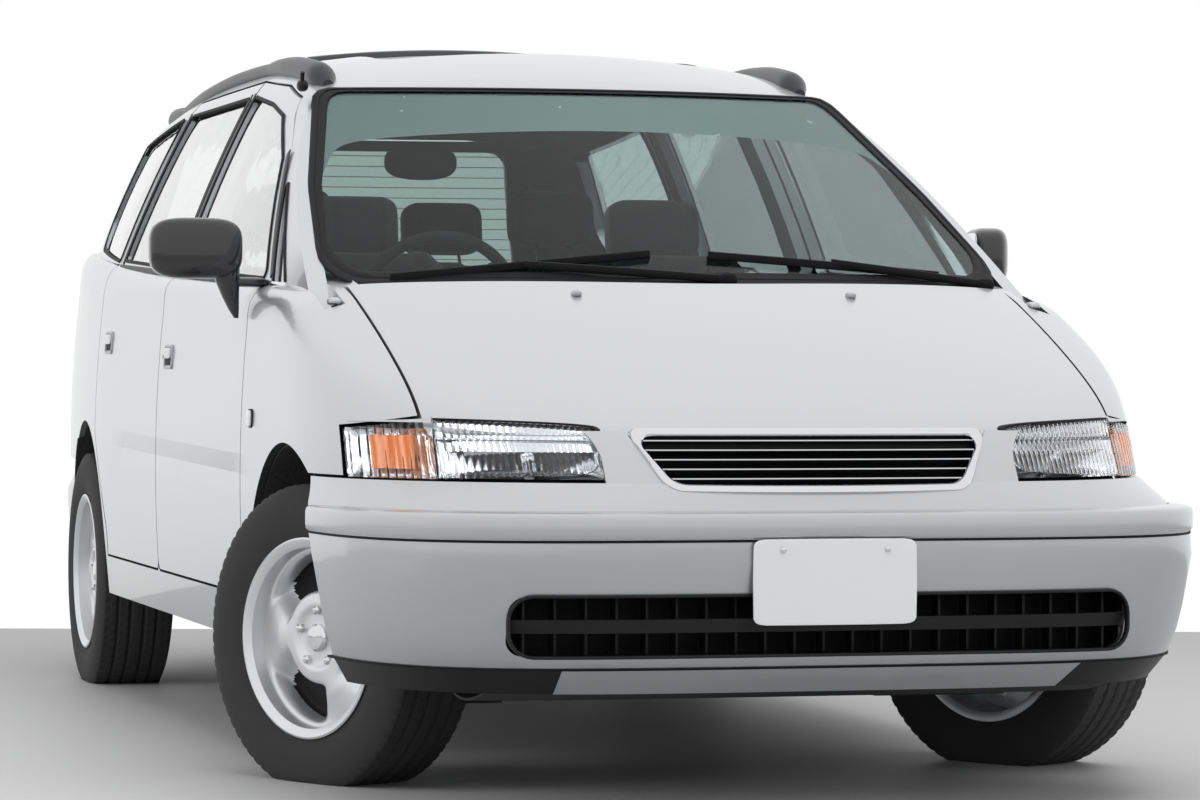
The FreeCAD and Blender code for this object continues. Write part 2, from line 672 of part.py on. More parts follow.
def make_shell():
    """The body shell: sills, posts, quarters, pillars and roof as one hollow skin."""
    behind_fender = box(0, FAR, size.door_front - GAP, body_end, size.sill_bottom_height, FAR)
    lower = wall_over_belt.common(behind_fender)
    for label in ("front", "rear"):
        lower = lower.cut(door_tools[label, "cut"])
    sill_back = size.wheelbase - size.rear_arch_half_length
    sill = box(sill_inner, form.wall_half(size.sill_bottom_height) - size.wall_thick / 2,
               size.door_front - size.post_depth, sill_back,
               size.sill_bottom_height, size.door_foot - 2 * GAP)
    lower = lower.fuse(sill)
    lower = lower.fuse(front_prism(front_post_outline(), size.door_front - size.post_depth,
                                   size.door_front - 2 * GAP))
    lower = lower.cut(rear_arch).cut(front_arch)
    lower = lower.cut(side_sheet.skin(size.lens_thick * 3 + NEAR + GAP, -GAP).common(tail_lamp_zone(NEAR)))
    lower = lower.cut(box(0, size.tailgate_half + GAP, size.wheelbase, body_end, size.tailgate_foot, FAR))
    lower = lower.cut(box(0, FAR, size.wheelbase, body_end, 0, size.rear_bumper_top + GAP))
    arch = arch_skin.cut(screen_tool)
    arch = arch.cut(below_belt)
    tail_cut = front_prism(tailgate_outline(GAP), size.wheelbase, body_end)
    arch = arch.cut(tail_cut)
    cuts = [door_tools["front", "cut"], door_tools["rear", "cut"]]
    cuts += [side_prism(corners, 0, FAR) for corners in quarter_outlines(0)]
    for cut in cuts:
        arch = arch.cut(cut).cut(mirrored(cut))
    arch = arch.cut(plan_prism(sunroof_outline(0), size.belt_height, FAR + size.belt_height))
    middle_post = front_prism(post_outline(size.door_mid), size.door_mid - size.post_depth / 2,
                              size.door_mid + size.post_depth / 2)
    lower = lower.fuse(middle_post)
    shell = arch.fuse(lower).fuse(mirrored(lower))
    keep("body_shell", largest(shell))
    panes = []
    for corners in quarter_outlines(-NEAR):
        pane = largest(glass_skin.common(side_prism(corners, 0, FAR)))
        panes += [pane, mirrored(pane)]
    keep("quarter_glass", Part.makeCompound(panes))


def tail_lamp_zone(grow):
    """The part of the rear pillar that a tail lamp fills."""
    inner, outer = size.tailgate_half + GAP * 2 - grow, size.half_width + grow
    low, high, rounding = size.tail_lamp_foot - grow, size.tail_lamp_top + grow, size.lamp_inner_round
    corners = [(inner, low, rounding), (inner, high, rounding),
               (outer, high, rounding), (outer, low, rounding)]
    return front_prism(corners, size.tail_lamp_front - grow, body_end)


def tailgate_outline(grow):
    """The tailgate's outline seen from behind."""
    foot, head = size.tailgate_half + grow, size.tailgate_head_half + grow
    return [
        (-foot, size.tailgate_foot - grow, size.tailgate_round),
        (-foot, size.rear_window_foot, size.tailgate_round),
        (-head, size.tailgate_head + grow, size.tailgate_round / 2),
        (head, size.tailgate_head + grow, size.tailgate_round / 2),
        (foot, size.rear_window_foot, size.tailgate_round),
        (foot, size.tailgate_foot - grow, size.tailgate_round),
    ]


def rear_window_outline(grow):
    """The tailgate's window seen from behind."""
    foot, head = size.rear_window_half + grow, size.rear_window_head_half + grow
    return [
        (-foot, size.rear_window_foot - grow, size.tailgate_round),
        (-head, size.rear_window_head + grow, size.tailgate_round),
        (head, size.rear_window_head + grow, size.tailgate_round),
        (foot, size.rear_window_foot - grow, size.tailgate_round),
    ]


def sunroof_outline(grow, moved=0):
    """The sunroof's opening seen from above."""
    half = size.sunroof_half + grow
    return [
        (-half, size.sunroof_front - grow + moved, size.sunroof_round),
        (half, size.sunroof_front - grow + moved, size.sunroof_round),
        (half, size.sunroof_back + grow + moved, size.sunroof_round),
        (-half, size.sunroof_back + grow + moved, size.sunroof_round),
    ]


def make_tailgate():
    """The tailgate and its window."""
    gate = tail_sheet.skin(size.tailgate_thick).common(
        front_prism(tailgate_outline(0), size.wheelbase, body_end))
    hole = front_prism(rear_window_outline(0), size.wheelbase, body_end)
    keep("tailgate", largest(gate.cut(hole)))
    pane = tail_sheet.skin(size.glass_thick, size.glass_inset).common(
        front_prism(rear_window_outline(-NEAR), size.wheelbase, body_end))
    keep("tailgate_glass", largest(pane))


def hood_outline(grow):
    """The hood's outline in plan as a wire: a rounded nose, two sides and a swept rear edge."""
    reach = size.hood_edge_reach + grow
    front_half = size.hood_front_half + grow
    rear_half = size.hood_rear_half + grow
    half = size.half_width - size.fender_blend / 3
    nose = []
    for x in steps(-front_half, front_half, 13):
        across = (abs(x) / (half + grow)) ** NOSE_ROUNDNESS_SHARE
        nose.append(Vector(x, -reach * (1 - across) ** (1 / NOSE_ROUNDNESS_SHARE), 0))
    rear = []
    sweep = size.hood_corner_back - size.hood_mid_back
    for x in steps(rear_half, -rear_half, 9):
        rear.append(Vector(x, size.hood_mid_back + sweep * (x / rear_half) ** 2 + grow, 0))
    front_curve, rear_curve = Part.BSplineCurve(), Part.BSplineCurve()
    front_curve.interpolate(nose)
    rear_curve.interpolate(rear)
    edges = [
        front_curve.toShape(), Part.LineSegment(nose[-1], rear[0]).toShape(),
        rear_curve.toShape(), Part.LineSegment(rear[-1], nose[0]).toShape(),
    ]
    return Part.Wire(edges)


def make_hood():
    """The hood: a curved panel with its shut line along the lamps and the cowl."""
    tool = Part.Face(hood_outline(0)).extrude(UP * FAR)
    keep("hood", largest(hood_sheet.skin(size.hood_thick).common(tool)))


def make_fenders():
    """The front fenders: the wall ahead of the doors, outside the hood."""
    region = box(0, FAR, -FAR, size.door_front - GAP, size.sill_bottom_height, FAR)
    fender = wing_skin.common(region)
    hood_space = Part.Face(hood_outline(GAP)).extrude(UP * FAR)
    hood_space.translate(UP * size.bumper_top)
    pillar_foot = arch_sheet.skin(size.pillar_thick + NEAR, -NEAR)
    fender = fender.cut(hood_space).cut(front_arch).cut(pillar_foot).cut(screen_slab(NEAR))
    ahead = box(0, FAR, -FAR, size.front_arch_back, 0, size.bumper_top + GAP)
    fender = fender.cut(ahead)
    fender = fender.cut(front_prism(lamp_zone(), -FAR, size.front_arch_back))
    fender = largest(fender)
    keep("fender_left", fender)
    keep("fender_right", mirrored(fender))


def lamp_zone():
    """The part of the nose that lamps and grille fill, seen from the front."""
    outer = size.corner_lamp_outer + GAP
    return [
        (-GAP, size.bumper_top - GAP, 0),
        (-GAP, FAR, 0),
        (size.lamp_inner, FAR, 0),
        (size.lamp_outer, size.corner_lamp_top + GAP * 5, 0),
        (outer, size.corner_lamp_top + GAP, 0),
        (outer, size.bumper_top - GAP, 0),
    ]


def lamp_corners(grow):
    """The headlamp's outline and the corner lamp's, seen from the front."""
    hood_line = size.nose_height
    head = [
        (size.lamp_inner - grow, size.lamp_foot + size.lamp_inner_round / 4 - grow, size.lamp_inner_round),
        (size.lamp_inner - grow, hood_line + grow, size.lamp_inner_round),
        (size.lamp_outer + grow, hood_line + GAP + grow, size.lamp_round),
        (size.lamp_outer + grow, size.corner_lamp_foot - grow, size.lamp_round),
    ]
    corner = [
        (size.lamp_outer + GAP - grow, size.corner_lamp_foot - grow, size.lamp_round),
        (size.lamp_outer + GAP - grow, hood_line + GAP + grow, size.lamp_round),
        (size.corner_lamp_outer + grow, size.corner_lamp_top + grow, size.lamp_round),
        (size.corner_lamp_outer + grow, size.corner_lamp_foot - grow, size.lamp_round),
    ]
    return head, corner


def make_headlamps():
    """The lamp units: a housing with a clear front that follows the nose."""
    skin = side_sheet.skin(size.lens_thick)
    shut = Part.Face(hood_outline(GAP)).extrude(UP * FAR)
    shut.translate(UP * size.bumper_top)
    lamps = []
    for corners in lamp_corners(0):
        lens = largest(skin.common(front_prism(corners, -FAR, size.front_arch_back)).cut(shut))
        lamps += [lens, mirrored(lens)]
    keep("headlamps", Part.makeCompound(lamps))


def bumper_curve(level, half_turn, centre_back, facing, inset):
    """One plan curve of a bumper: a rounded rectangle drawn in by inset, as a spline edge."""
    z, half, reach, roundness = level
    points = []
    for angle in steps(-half_turn, half_turn, 33):
        across = abs(math.sin(angle)) / (half - inset)
        ahead = abs(math.cos(angle)) / (reach - inset)
        far = (across ** roundness + ahead ** roundness) ** (-1 / roundness)
        points.append(Vector(far * math.sin(angle), centre_back + facing * far * math.cos(angle), z))
    curve = Part.BSplineCurve()
    curve.interpolate(points)
    return curve.toShape(), points


def bumper_skin(levels, half_turn, centre_back, facing, thick):
    """A bumper's wall: a ruled loft through closed plan sections, one at each level."""
    sections = []
    for level in levels:
        outer, outer_points = bumper_curve(level, half_turn, centre_back, facing, 0)
        inner, inner_points = bumper_curve(level, half_turn, centre_back, facing, thick)
        ends = [Part.LineSegment(outer_points[end], inner_points[end]).toShape() for end in (-1, 0)]
        sections.append(Part.Wire([outer, ends[0], inner, ends[1]]))
    solid = Part.makeLoft(sections, True, True)
    if solid.Volume < 0:
        solid.reverse()
    return solid


def bumper_levels(top, foot, half, reach):
    """The bumper's plan curves from its top edge to its foot: height, half-width, reach, roundness."""
    heights = steps(top, foot, len(BUMPER_ROUNDNESS_SHARES))
    halves = [half - size.bumper_side_tuck * share for share in BUMPER_SIDE_SHARES]
    reaches = [reach - size.bumper_front_tuck * share for share in BUMPER_FRONT_SHARES]
    return list(zip(heights, halves, reaches, BUMPER_ROUNDNESS_SHARES))


def make_bumpers():
    """The bumpers: one wrapped round the nose, one round the tail."""
    levels = bumper_levels(size.bumper_top, size.bumper_foot, size.bumper_half, size.bumper_reach)
    front = bumper_skin(levels, FRONT_BUMPER_TURN, 0, -1, size.bumper_thick)
    front = front.common(box(-FAR, FAR, -FAR, size.bumper_arch_back, 0, FAR))
    for side in (front_arch, mirrored(front_arch)):
        front = front.cut(side)
    intake = [(-size.intake_half, size.intake_foot, size.lamp_inner_round),
              (-size.intake_half, size.intake_top, size.lamp_inner_round),
              (size.intake_half, size.intake_top, size.lamp_inner_round),
              (size.intake_half, size.intake_foot, size.lamp_inner_round)]
    middle = (size.intake_foot + size.intake_top) / 2
    bar = box(-size.intake_half - GAP, size.intake_half + GAP, -FAR, 0,
              middle - size.intake_bar / 2, middle + size.intake_bar / 2)
    front = front.cut(front_prism(intake, -FAR, size.front_arch_back).cut(bar))
    front = front.cut(front_prism(grille_outline(NEAR), -FAR, size.front_arch_back))
    for side in (-1, 1):
        hole = Part.makeCylinder(size.plate_hole, FAR, Vector(side * size.plate_hole_spacing / 2, -FAR,
                                                            size.plate_centre_height), ALONG)
        front = front.cut(hole)
    keep("front_bumper", largest(front))
    rear_centre = size.wheelbase + size.fan_tail_back
    reach = body_end - rear_centre
    half = size.bumper_half * form.taper(rear_centre + reach / 2)
    levels = bumper_levels(size.rear_bumper_top, size.rear_bumper_foot, half, reach)
    rear = bumper_skin(levels, REAR_BUMPER_TURN, rear_centre, 1, size.rear_bumper_thick)
    for side in (rear_arch, mirrored(rear_arch)):
        rear = rear.cut(side)
    keep("rear_bumper", largest(rear))


def screen_slab(grow):
    """The windscreen's slab inside its outline, grown all round by a gap."""
    corners = [
        (-size.screen_foot_half - grow, size.screen_foot_z - grow, size.screen_round),
        (-size.screen_mid_half - grow, size.screen_mid_z, 0),
        (-size.screen_head_half - grow, size.screen_head_z + grow, size.screen_round),
        (size.screen_head_half + grow, size.screen_head_z + grow, size.screen_round),
        (size.screen_mid_half + grow, size.screen_mid_z, 0),
        (size.screen_foot_half + grow, size.screen_foot_z - grow, size.screen_round),
    ]
    slab = screen_surface(0, -grow).extrude(ALONG * (size.screen_thick + 2 * grow))
    return slab.common(front_prism(corners, -FAR, size.roof_crest_back))


def make_windscreen():
    """The windscreen, bonded on the pillars' cut faces."""
    keep("windscreen", largest(screen_slab(0)))


def make_roof_parts():
    """The sunroof's glass, slid back above the roof, and the rails."""
    glass = arch_sheet.skin(size.sunroof_thick, -size.sunroof_thick).common(
        plan_prism(sunroof_outline(GAP, size.sunroof_slide), size.arch_spine_height, FAR * 2))
    glass = largest(glass)
    glass.translate(UP * size.sunroof_lift)
    keep("sunroof_glass", glass)


def revolve_across(points, x):
    """A ring about an axle along X from a profile in (across, radius)."""
    wire = Part.makePolygon([Vector(x + a, 0, radius) for a, radius in points + points[:1]])
    return Part.Face(wire).revolve(ORIGIN, ACROSS, 360)


def make_wheel():
    """A left wheel about the X axis, its outer face towards +X: tyre and rim."""
    half, flange = size.tyre_width / 2, size.rim_flange_radius
    radius, rim_half = size.tyre_radius, size.rim_width / 2
    wall = radius - flange
    bead = rim_half - NEAR
    tyre_points = [
        (-bead, size.rim_radius + NEAR), (-bead, flange + NEAR), (-half, flange + wall * 0.5),
        (-half * 0.80, radius), (half * 0.80, radius), (half, flange + wall * 0.5),
        (bead, flange + NEAR), (bead, size.rim_radius + NEAR),
    ]
    tyre = revolve_across(tyre_points, 0)
    lip = size.barrel_thick
    barrel_points = [
        (-rim_half - GAP, flange), (-rim_half - GAP, size.rim_radius - lip),
        (rim_half + GAP, size.rim_radius - lip), (rim_half + GAP, flange),
        (rim_half, flange), (rim_half, size.rim_radius), (-rim_half, size.rim_radius),
        (-rim_half, flange),
    ]
    barrel = revolve_across(barrel_points, 0)
    face_in = rim_half - size.dish_depth
    disc_points = [
        (face_in, 0), (face_in, size.rim_radius - lip / 2),
        (face_in + size.spoke_thick * 0.6, size.rim_radius - lip / 2),
        (face_in + size.spoke_thick, size.hub_radius), (face_in + size.spoke_thick, 0),
    ]
    disc = revolve_across(disc_points, 0)
    for turn in range(3):
        window = side_prism([
            (-size.rim_radius * 0.62, size.hub_radius * 1.25, size.window_inner_round),
            (size.rim_radius * 0.62, size.hub_radius * 1.25, size.window_inner_round),
            (size.rim_radius * 0.46, size.rim_radius * 0.80, size.window_outer_round),
            (-size.rim_radius * 0.46, size.rim_radius * 0.80, size.window_outer_round),
        ], 0, FAR)
        window.rotate(ORIGIN, ACROSS, 120 * turn)
        disc = disc.cut(window)
    hub = Part.makeCylinder(size.hub_radius * 0.72, size.dish_depth, Vector(face_in - GAP, 0, 0), ACROSS)
    brake = Part.makeCylinder(size.disc_radius, size.disc_thick, Vector(-size.disc_thick, 0, 0), ACROSS)
    neck = Part.makeCylinder(size.hub_radius, face_in + GAP, Vector(-GAP / 2, 0, 0), ACROSS)
    rim = barrel.fuse([disc, hub, brake, neck])
    bore = Part.makeCylinder(size.axle_stub_radius + NEAR, size.rim_width,
                             Vector(-size.rim_width * 0.8, 0, 0), ACROSS)
    rim = rim.cut(bore)
    return tyre, rim


def make_wheels():
    """All four wheels, the front pair turned with their knuckles."""
    tyre, rim = make_wheel()
    floor_cut = box(-FAR, FAR, -FAR, FAR, -FAR, -size.wheel_centre_height)
    tyre = tyre.cut(floor_cut)
    for side, sign, steer in (("left", 1, size.steer_left), ("right", -1, size.steer_right)):
        for end, back, track in (("front", 0, size.front_track), ("rear", size.wheelbase, size.rear_track)):
            for name, shape in (("tyre", tyre), ("rim", rim)):
                piece = shape.copy()
                inboard = size.kingpin_inboard if end == "front" else 0
                piece.translate(ACROSS * inboard)
                if sign < 0:
                    piece = mirrored(piece)
                if end == "front":
                    piece.rotate(ORIGIN, UP, steer)
                piece.translate(Vector(sign * (track / 2 - inboard), back, size.wheel_centre_height))
                keep(f"{name}_{end}_{side}", piece)


def make_knuckles():
    """The steering knuckles: an upright between its ball joints, a stub axle and a steering arm."""
    for side, sign, steer in (("left", 1, size.steer_left), ("right", -1, size.steer_right)):
        half = size.knuckle_half_width
        upright = box(-half, half, -half * 1.5, half * 1.5, -size.knuckle_drop, size.knuckle_rise)
        stub = Part.makeCylinder(size.axle_stub_radius, size.kingpin_inboard + size.disc_thick,
                                 ORIGIN, ACROSS)
        arm = box(-2 * half, 0, 0, size.steering_arm, -size.knuckle_drop / 2, -size.knuckle_drop / 4)
        knuckle = upright.fuse([stub, arm])
        if sign < 0:
            knuckle = mirrored(knuckle)
        knuckle.rotate(ORIGIN, UP, steer)
        knuckle.translate(Vector(sign * (size.front_track / 2 - size.kingpin_inboard), 0,
                                 size.wheel_centre_height))
        keep(f"knuckle_{side}", knuckle)


def make_cabin():
    """Floor, firewall, dashboard and seats."""
    foot, thick = size.floor_height - size.floor_thick, size.floor_thick
    back, half = size.firewall_back, size.half_width
    floor = box(-half, half, back, size.rear_floor_front, foot, size.floor_height)
    step = box(-size.rear_floor_half, size.rear_floor_half, size.rear_floor_front - thick,
               size.rear_floor_front, foot, size.cargo_floor_height)
    cargo = box(-size.rear_floor_half, size.rear_floor_half, size.rear_floor_front - thick,
                size.floor_back, size.cargo_floor_height - thick, size.cargo_floor_height)
    wall = box(-half, half, back - size.firewall_thick, back, foot, size.dash_top)
    floor = floor.fuse([step, cargo, wall])
    for sign in (1, -1):
        side = box(sill_inner - NEAR, FAR, -FAR, body_end, 0, FAR)
        shoulder = box(size.firewall_shoulder_half, FAR, -FAR, body_end, size.firewall_shoulder_height, FAR)
        wheel_space = box(size.tower_outer + GAP / 2, FAR, -FAR, size.wheel_space_back,
                          0, size.wheel_space_top)
        for solid in (side, shoulder, wheel_space, front_arch, rear_arch):
            floor = floor.cut(solid if sign > 0 else mirrored(solid))
    keep("floor_pan", largest(floor))
    dash = side_prism([
        (size.firewall_back + NEAR, size.dash_foot, size.dash_foot_round),
        (size.firewall_back + NEAR, size.dash_top, size.dash_edge_round),
        (size.dash_back - size.dash_shelf, size.dash_top, size.dash_round),
        (size.dash_back, size.dash_top - size.dash_fall, size.dash_round),
        (size.dash_back - size.dash_shelf / 2, size.dash_foot, size.dash_knee_round),
    ], -size.dash_half, size.dash_half)
    keep("dashboard", dash)
    seats = []
    for side in (-1, 1):
        seats.append(make_seat(side * size.front_seat_side, size.front_seat_back, size.seat_width,
                               size.floor_height))
    keep("front_seats", Part.makeCompound(seats))
    rears = []
    for back, floor_height in ((size.middle_seat_back, size.floor_height),
                               (size.rear_seat_back, size.cargo_floor_height)):
        rears.append(make_seat(0, back, size.seat_width * 2.3, floor_height))
    keep("rear_seats", Part.makeCompound(rears))


def make_seat(centre, front, width, floor_height):
    """One seat: base, cushion, leaning back and headrests as one padded solid."""
    half = width / 2
    base_foot = floor_height + NEAR
    large, small = size.cushion_round, size.seat_round
    head = front + size.seat_depth * 1.3
    cushion = side_prism([
        (front, base_foot, small), (front, size.cushion_top - large, large),
        (front + size.seat_depth * 0.8, size.cushion_top - size.seat_dip, small),
        (front + size.seat_depth, size.cushion_top - large, small),
        (head, size.seat_back_top, large),
        (head + size.seat_back_thick, size.seat_back_top - small, large),
        (front + size.seat_depth * 1.05, base_foot, small),
    ], centre - half, centre + half)
    rests = [cushion]
    spots = (0,) if width < size.dash_half else (-half * 0.6, half * 0.6)
    for spot in spots:
        rest_front = front + size.seat_depth * 1.36
        rests.append(box(centre + spot - size.headrest_width / 2, centre + spot + size.headrest_width / 2,
                         rest_front, rest_front + size.headrest_thick,
                         size.seat_back_top - size.headrest_sink, size.headrest_top))
    return rests[0].fuse(rests[1:])


def grille_outline(grow):
    """The grille's outline seen from the front, grown by a gap."""
    top, foot, rim = size.grille_top + grow, size.grille_foot - grow, size.grille_rim
    head, sole = size.grille_half + grow, size.grille_foot_half + grow
    return [(-head, top, rim), (head, top, rim), (sole, foot, rim * 3), (-sole, foot, rim * 3)]


def make_grille():
    """The grille: a rim round an open mouth, with level bars across it."""
    top, foot = size.grille_top, size.grille_foot
    rim = size.grille_rim
    head, sole = size.grille_half - rim * 1.6, size.grille_foot_half - rim
    inner = [(-head, top - rim, rim / 2), (head, top - rim, rim / 2),
             (sole, foot + rim, rim * 2), (-sole, foot + rim, rim * 2)]
    skin = side_sheet.skin(size.grille_depth)
    skin = [skin, mirrored(skin)]
    bars = []
    pitch = (top - foot) / (size.grille_bar_count + 1)
    for index in range(1, int(size.grille_bar_count) + 1):
        height = foot + pitch * index
        bars.append(box(-FAR, FAR, -FAR, size.front_arch_back, height - size.grille_bar / 2,
                        height + size.grille_bar / 2))
    mouth = front_prism(inner, -FAR, size.front_arch_back)
    mask = front_prism(grille_outline(0), -FAR, size.front_arch_back).cut(mouth.cut(bars[0].fuse(bars[1:])))
    shut = Part.Face(hood_outline(GAP)).extrude(UP * FAR)
    shut.translate(UP * size.bumper_top)
    halves = [largest(half.common(mask).cut(shut)) for half in skin]
    keep("grille", largest(halves[0].fuse(halves[1])))


def make_tail_lamps():
    """The tail lamps, on the rear pillars beside the tailgate."""
    lamp = largest(side_sheet.skin(size.lens_thick * 3).common(tail_lamp_zone(0)))
    keep("tail_lamps", Part.makeCompound([lamp, mirrored(lamp)]))


def make_rails():
    """The roof rails: a bar along each side on a front and a rear foot."""
    rails = []
    stations = steps(size.rail_front, size.rail_back, 9)
    spine, sections = [], []
    for y in stations:
        start = Vector(0, y, size.arch_spine_height)
        aim = Vector(math.sin(RAIL_TURN), 0, math.cos(RAIL_TURN))
        seat = cast(form.upper, start, aim, -NEAR)
        lift = size.rail_rise * min(1, (y - size.rail_front) / size.rail_foot_length,
                                    (size.rail_back - y) / size.rail_foot_length)
        spine.append(seat + aim * (size.rail_radius + lift))
        corners = []
        for turn in steps(0, 2 * math.pi, RAIL_SIDES_SHARE + 1):
            corners.append(spine[-1] + (ACROSS * math.cos(turn) + UP * math.sin(turn)) * size.rail_radius)
        sections.append(Part.makePolygon(corners))
    bar = Part.makeLoft(sections, True, True)
    feet = []
    skin = arch_sheet.skin(size.rail_rise + size.rail_radius, -size.rail_rise - size.rail_radius - NEAR)
    for front, back in ((size.rail_front - GAP, size.rail_front + size.rail_foot_length),
                        (size.rail_back - size.rail_foot_length, size.rail_back + GAP)):
        half = size.rail_radius * 1.3
        x = spine[0].x
        feet.append(largest(skin.common(box(x - half, x + half, front, back, size.belt_height, FAR * 2))))
    rail = bar.fuse(feet)
    bulk = arch_sheet.skin(size.pillar_thick, -NEAR)
    rail = largest(rail.cut(bulk))
    keep("roof_rails", Part.makeCompound([rail, mirrored(rail)]))


def make_cowl():
    """The cowl below the windscreen with the two wiper arms and blades."""
    front, back = [], []
    half = size.screen_foot_half - size.frame_width
    for x in steps(-half, half, 9):
        sweep = size.hood_corner_back - size.hood_mid_back
        edge = size.hood_mid_back + sweep * (x / size.hood_rear_half) ** 2
        front.append(Vector(x, edge + GAP * 2, size.cowl_height))
        back.append(Vector(x, form.screen_back(x, size.cowl_height) + size.cowl_depth, size.cowl_height))
    lines = []
    for points in (front, back[::-1]):
        curve = Part.BSplineCurve()
        curve.interpolate(points)
        lines.append(curve.toShape())
    lines.insert(1, Part.LineSegment(front[-1], back[-1]).toShape())
    lines.append(Part.LineSegment(back[0], front[0]).toShape())
    panel = Part.Face(Part.Wire(Part.__sortEdges__(lines))).extrude(UP * -size.cowl_thick)
    keep("cowl_panel", panel)


def make_mirrors():
    """The door mirrors: the right one open, the left one folded back."""
    for side, sign in (("left", 1), ("right", -1)):
        width, height, depth = size.mirror_width, size.mirror_height, size.mirror_depth
        housing = box(0, width, -depth / 2, depth / 2, 0, height)
        housing = housing.makeFillet(depth * 0.36, housing.Edges)
        foot_x, foot_y = size.mirror_foot_half, size.mirror_back
        foot = front_prism([
            (size.mirror_seat_half, size.mirror_foot_height, 0),
            (size.mirror_seat_half, size.mirror_low + GAP * 2, 0),
            (foot_x + depth, size.mirror_low + GAP * 2, 0),
            (foot_x + depth / 2, size.mirror_foot_height + GAP, GAP),
        ], foot_y - depth / 6, foot_y + depth / 2)
        housing.translate(Vector(foot_x, foot_y, size.mirror_low))
        if side == "left":
            housing.rotate(Vector(foot_x + depth / 2, foot_y, 0), UP, size.mirror_fold)
        mirror = housing.fuse(foot).cut(side_sheet.skin(size.wall_thick, -NEAR))
        mirror = largest(mirror)
        keep(f"mirror_{side}", mirror if sign > 0 else mirrored(mirror))


def make_steering_wheel():
    """The steering wheel on its column, on the right-hand side."""
    tilt = math.radians(size.steering_tilt)
    axis = Vector(0, -math.cos(tilt), -math.sin(tilt))
    centre = Vector(size.steering_side, size.steering_back, size.steering_height)
    profile = []
    for turn in steps(0, 2 * math.pi, RING_SIDES_SHARE + 1)[:-1]:
        profile.append((size.steering_ring * math.cos(turn),
                        size.steering_radius + size.steering_ring * math.sin(turn)))
    ring = revolve_across(profile, 0)
    ring.rotate(ORIGIN, ACROSS.cross(axis), 90)
    ring.translate(centre)
    hub = Part.makeCylinder(size.steering_hub, size.steering_ring * 3, centre, axis)
    column = Part.makeCylinder(size.column_radius, size.column_length, centre, axis)
    spokes = []
    lean = ACROSS
    upright = axis.cross(lean)
    for aim in (lean, lean * -1, upright):
        start = centre + axis * size.steering_ring
        spokes.append(Part.makeCylinder(size.steering_ring * 0.8, size.steering_radius, start, aim))
    keep("steering_wheel", largest(hub.fuse([column] + spokes).fuse(ring)))


def both_sides(shapes):
    """The shapes and their mirror images."""
    return shapes + [mirrored(shape) for shape in shapes]


def make_front_frame():
    """The front frame: crossmember, arms to the knuckles, towers, rails and the lamp carrier."""
    half, arm = size.crossmember_half, size.arm_width / 2
    low, high = size.crossmember_foot, size.crossmember_foot + size.crossmember_height
    front, back = size.crossmember_front, size.crossmember_front + size.crossmember_depth
    kingpin = size.front_track / 2 - size.kingpin_inboard
    arm_top = size.wheel_centre_height - size.knuckle_drop - NEAR
    upper_foot = size.wheel_centre_height + size.knuckle_rise + NEAR
    inner, outer = size.tower_inner, size.tower_outer
    beam = box(-half, half, front, back, low, high)
    seat = box(-half / 8, half / 8, size.firewall_back - size.firewall_thick, back,
               low, size.floor_height - size.floor_thick - NEAR)
    carrier = box(-size.carrier_half, size.carrier_half, size.carrier_back - size.carrier_thick,
                  size.carrier_back, size.carrier_low, size.carrier_high)
    side = [
        box(half - 2 * arm, kingpin + arm * 0.7, -arm, arm, arm_top - size.arm_thick, arm_top),
        box(half - 2 * arm, half, -arm, arm, arm_top - size.arm_thick, low),
        box(inner, kingpin + arm * 0.6, -arm * 0.6, arm * 0.6, upper_foot, upper_foot + size.arm_thick),
        box(inner, outer, -2 * arm, 2 * arm, low, size.rail_high),
        box(inner, outer, size.rail_nose, size.firewall_back - size.firewall_thick - NEAR,
            size.rail_low, size.rail_high),
        box(half * 0.6 - arm, half * 0.6 + arm, size.arm_thick, size.arm_thick + 2 * arm,
            low, size.engine_foot - NEAR),
    ]
    keep("front_frame", beam.fuse([seat, carrier] + both_sides(side)))


def make_running_gear():
    """Engine, rear axle and fuel tank."""
    engine = box(-size.engine_width / 2, size.engine_width / 2, size.engine_front,
                 size.engine_front + size.engine_depth, size.engine_foot,
                 size.engine_foot + size.engine_height)
    keep("engine_block", engine)
    inner = size.rear_track / 2 - size.axle_inboard
    axle = across_cylinder(size.axle_beam_radius, -inner, size.wheelbase, size.wheel_centre_height, 2 * inner)
    stub = across_cylinder(size.axle_stub_radius, -size.rear_track / 2 - size.disc_thick, size.wheelbase,
                           size.wheel_centre_height, size.rear_track + 2 * size.disc_thick)
    arm = size.arm_width / 2
    under_floor = size.floor_height - size.floor_thick - NEAR
    front = size.wheelbase - size.link_length
    side = [
        box(inner - 2 * arm, inner, front - 2 * arm, size.wheelbase,
            under_floor - size.arm_thick, under_floor),
        box(inner - 2 * arm, inner, size.wheelbase - arm, size.wheelbase + arm,
            under_floor - size.arm_thick, size.cargo_floor_height - size.floor_thick - NEAR),
    ]
    keep("rear_axle", axle.fuse([stub] + both_sides(side)))
    tank = box(-size.tank_width / 2, size.tank_width / 2, size.tank_front, size.tank_front + size.tank_depth,
               under_floor - size.tank_height / 3, under_floor)
    keep("fuel_tank", tank)


make_doors()
make_shell()
make_tailgate()
make_hood()
make_fenders()
make_headlamps()
make_bumpers()
make_windscreen()
make_roof_parts()
make_wheels()
make_knuckles()
make_cabin()
make_grille()
make_tail_lamps()
make_rails()
make_cowl()
make_mirrors()
make_steering_wheel()
make_front_frame()
make_running_gear()

place = FreeCAD.Placement(Vector(0, size.front_overhang - size.body_length / 2, 0), FreeCAD.Rotation())
pieces = []
for name, shape in SHAPES.items():
    piece = document.addObject("Part::Feature", name)
    piece.Label = name
    piece.Shape = shape
    piece.Placement = place.multiply(shape.Placement)
    pieces.append(piece)
document.recompute()

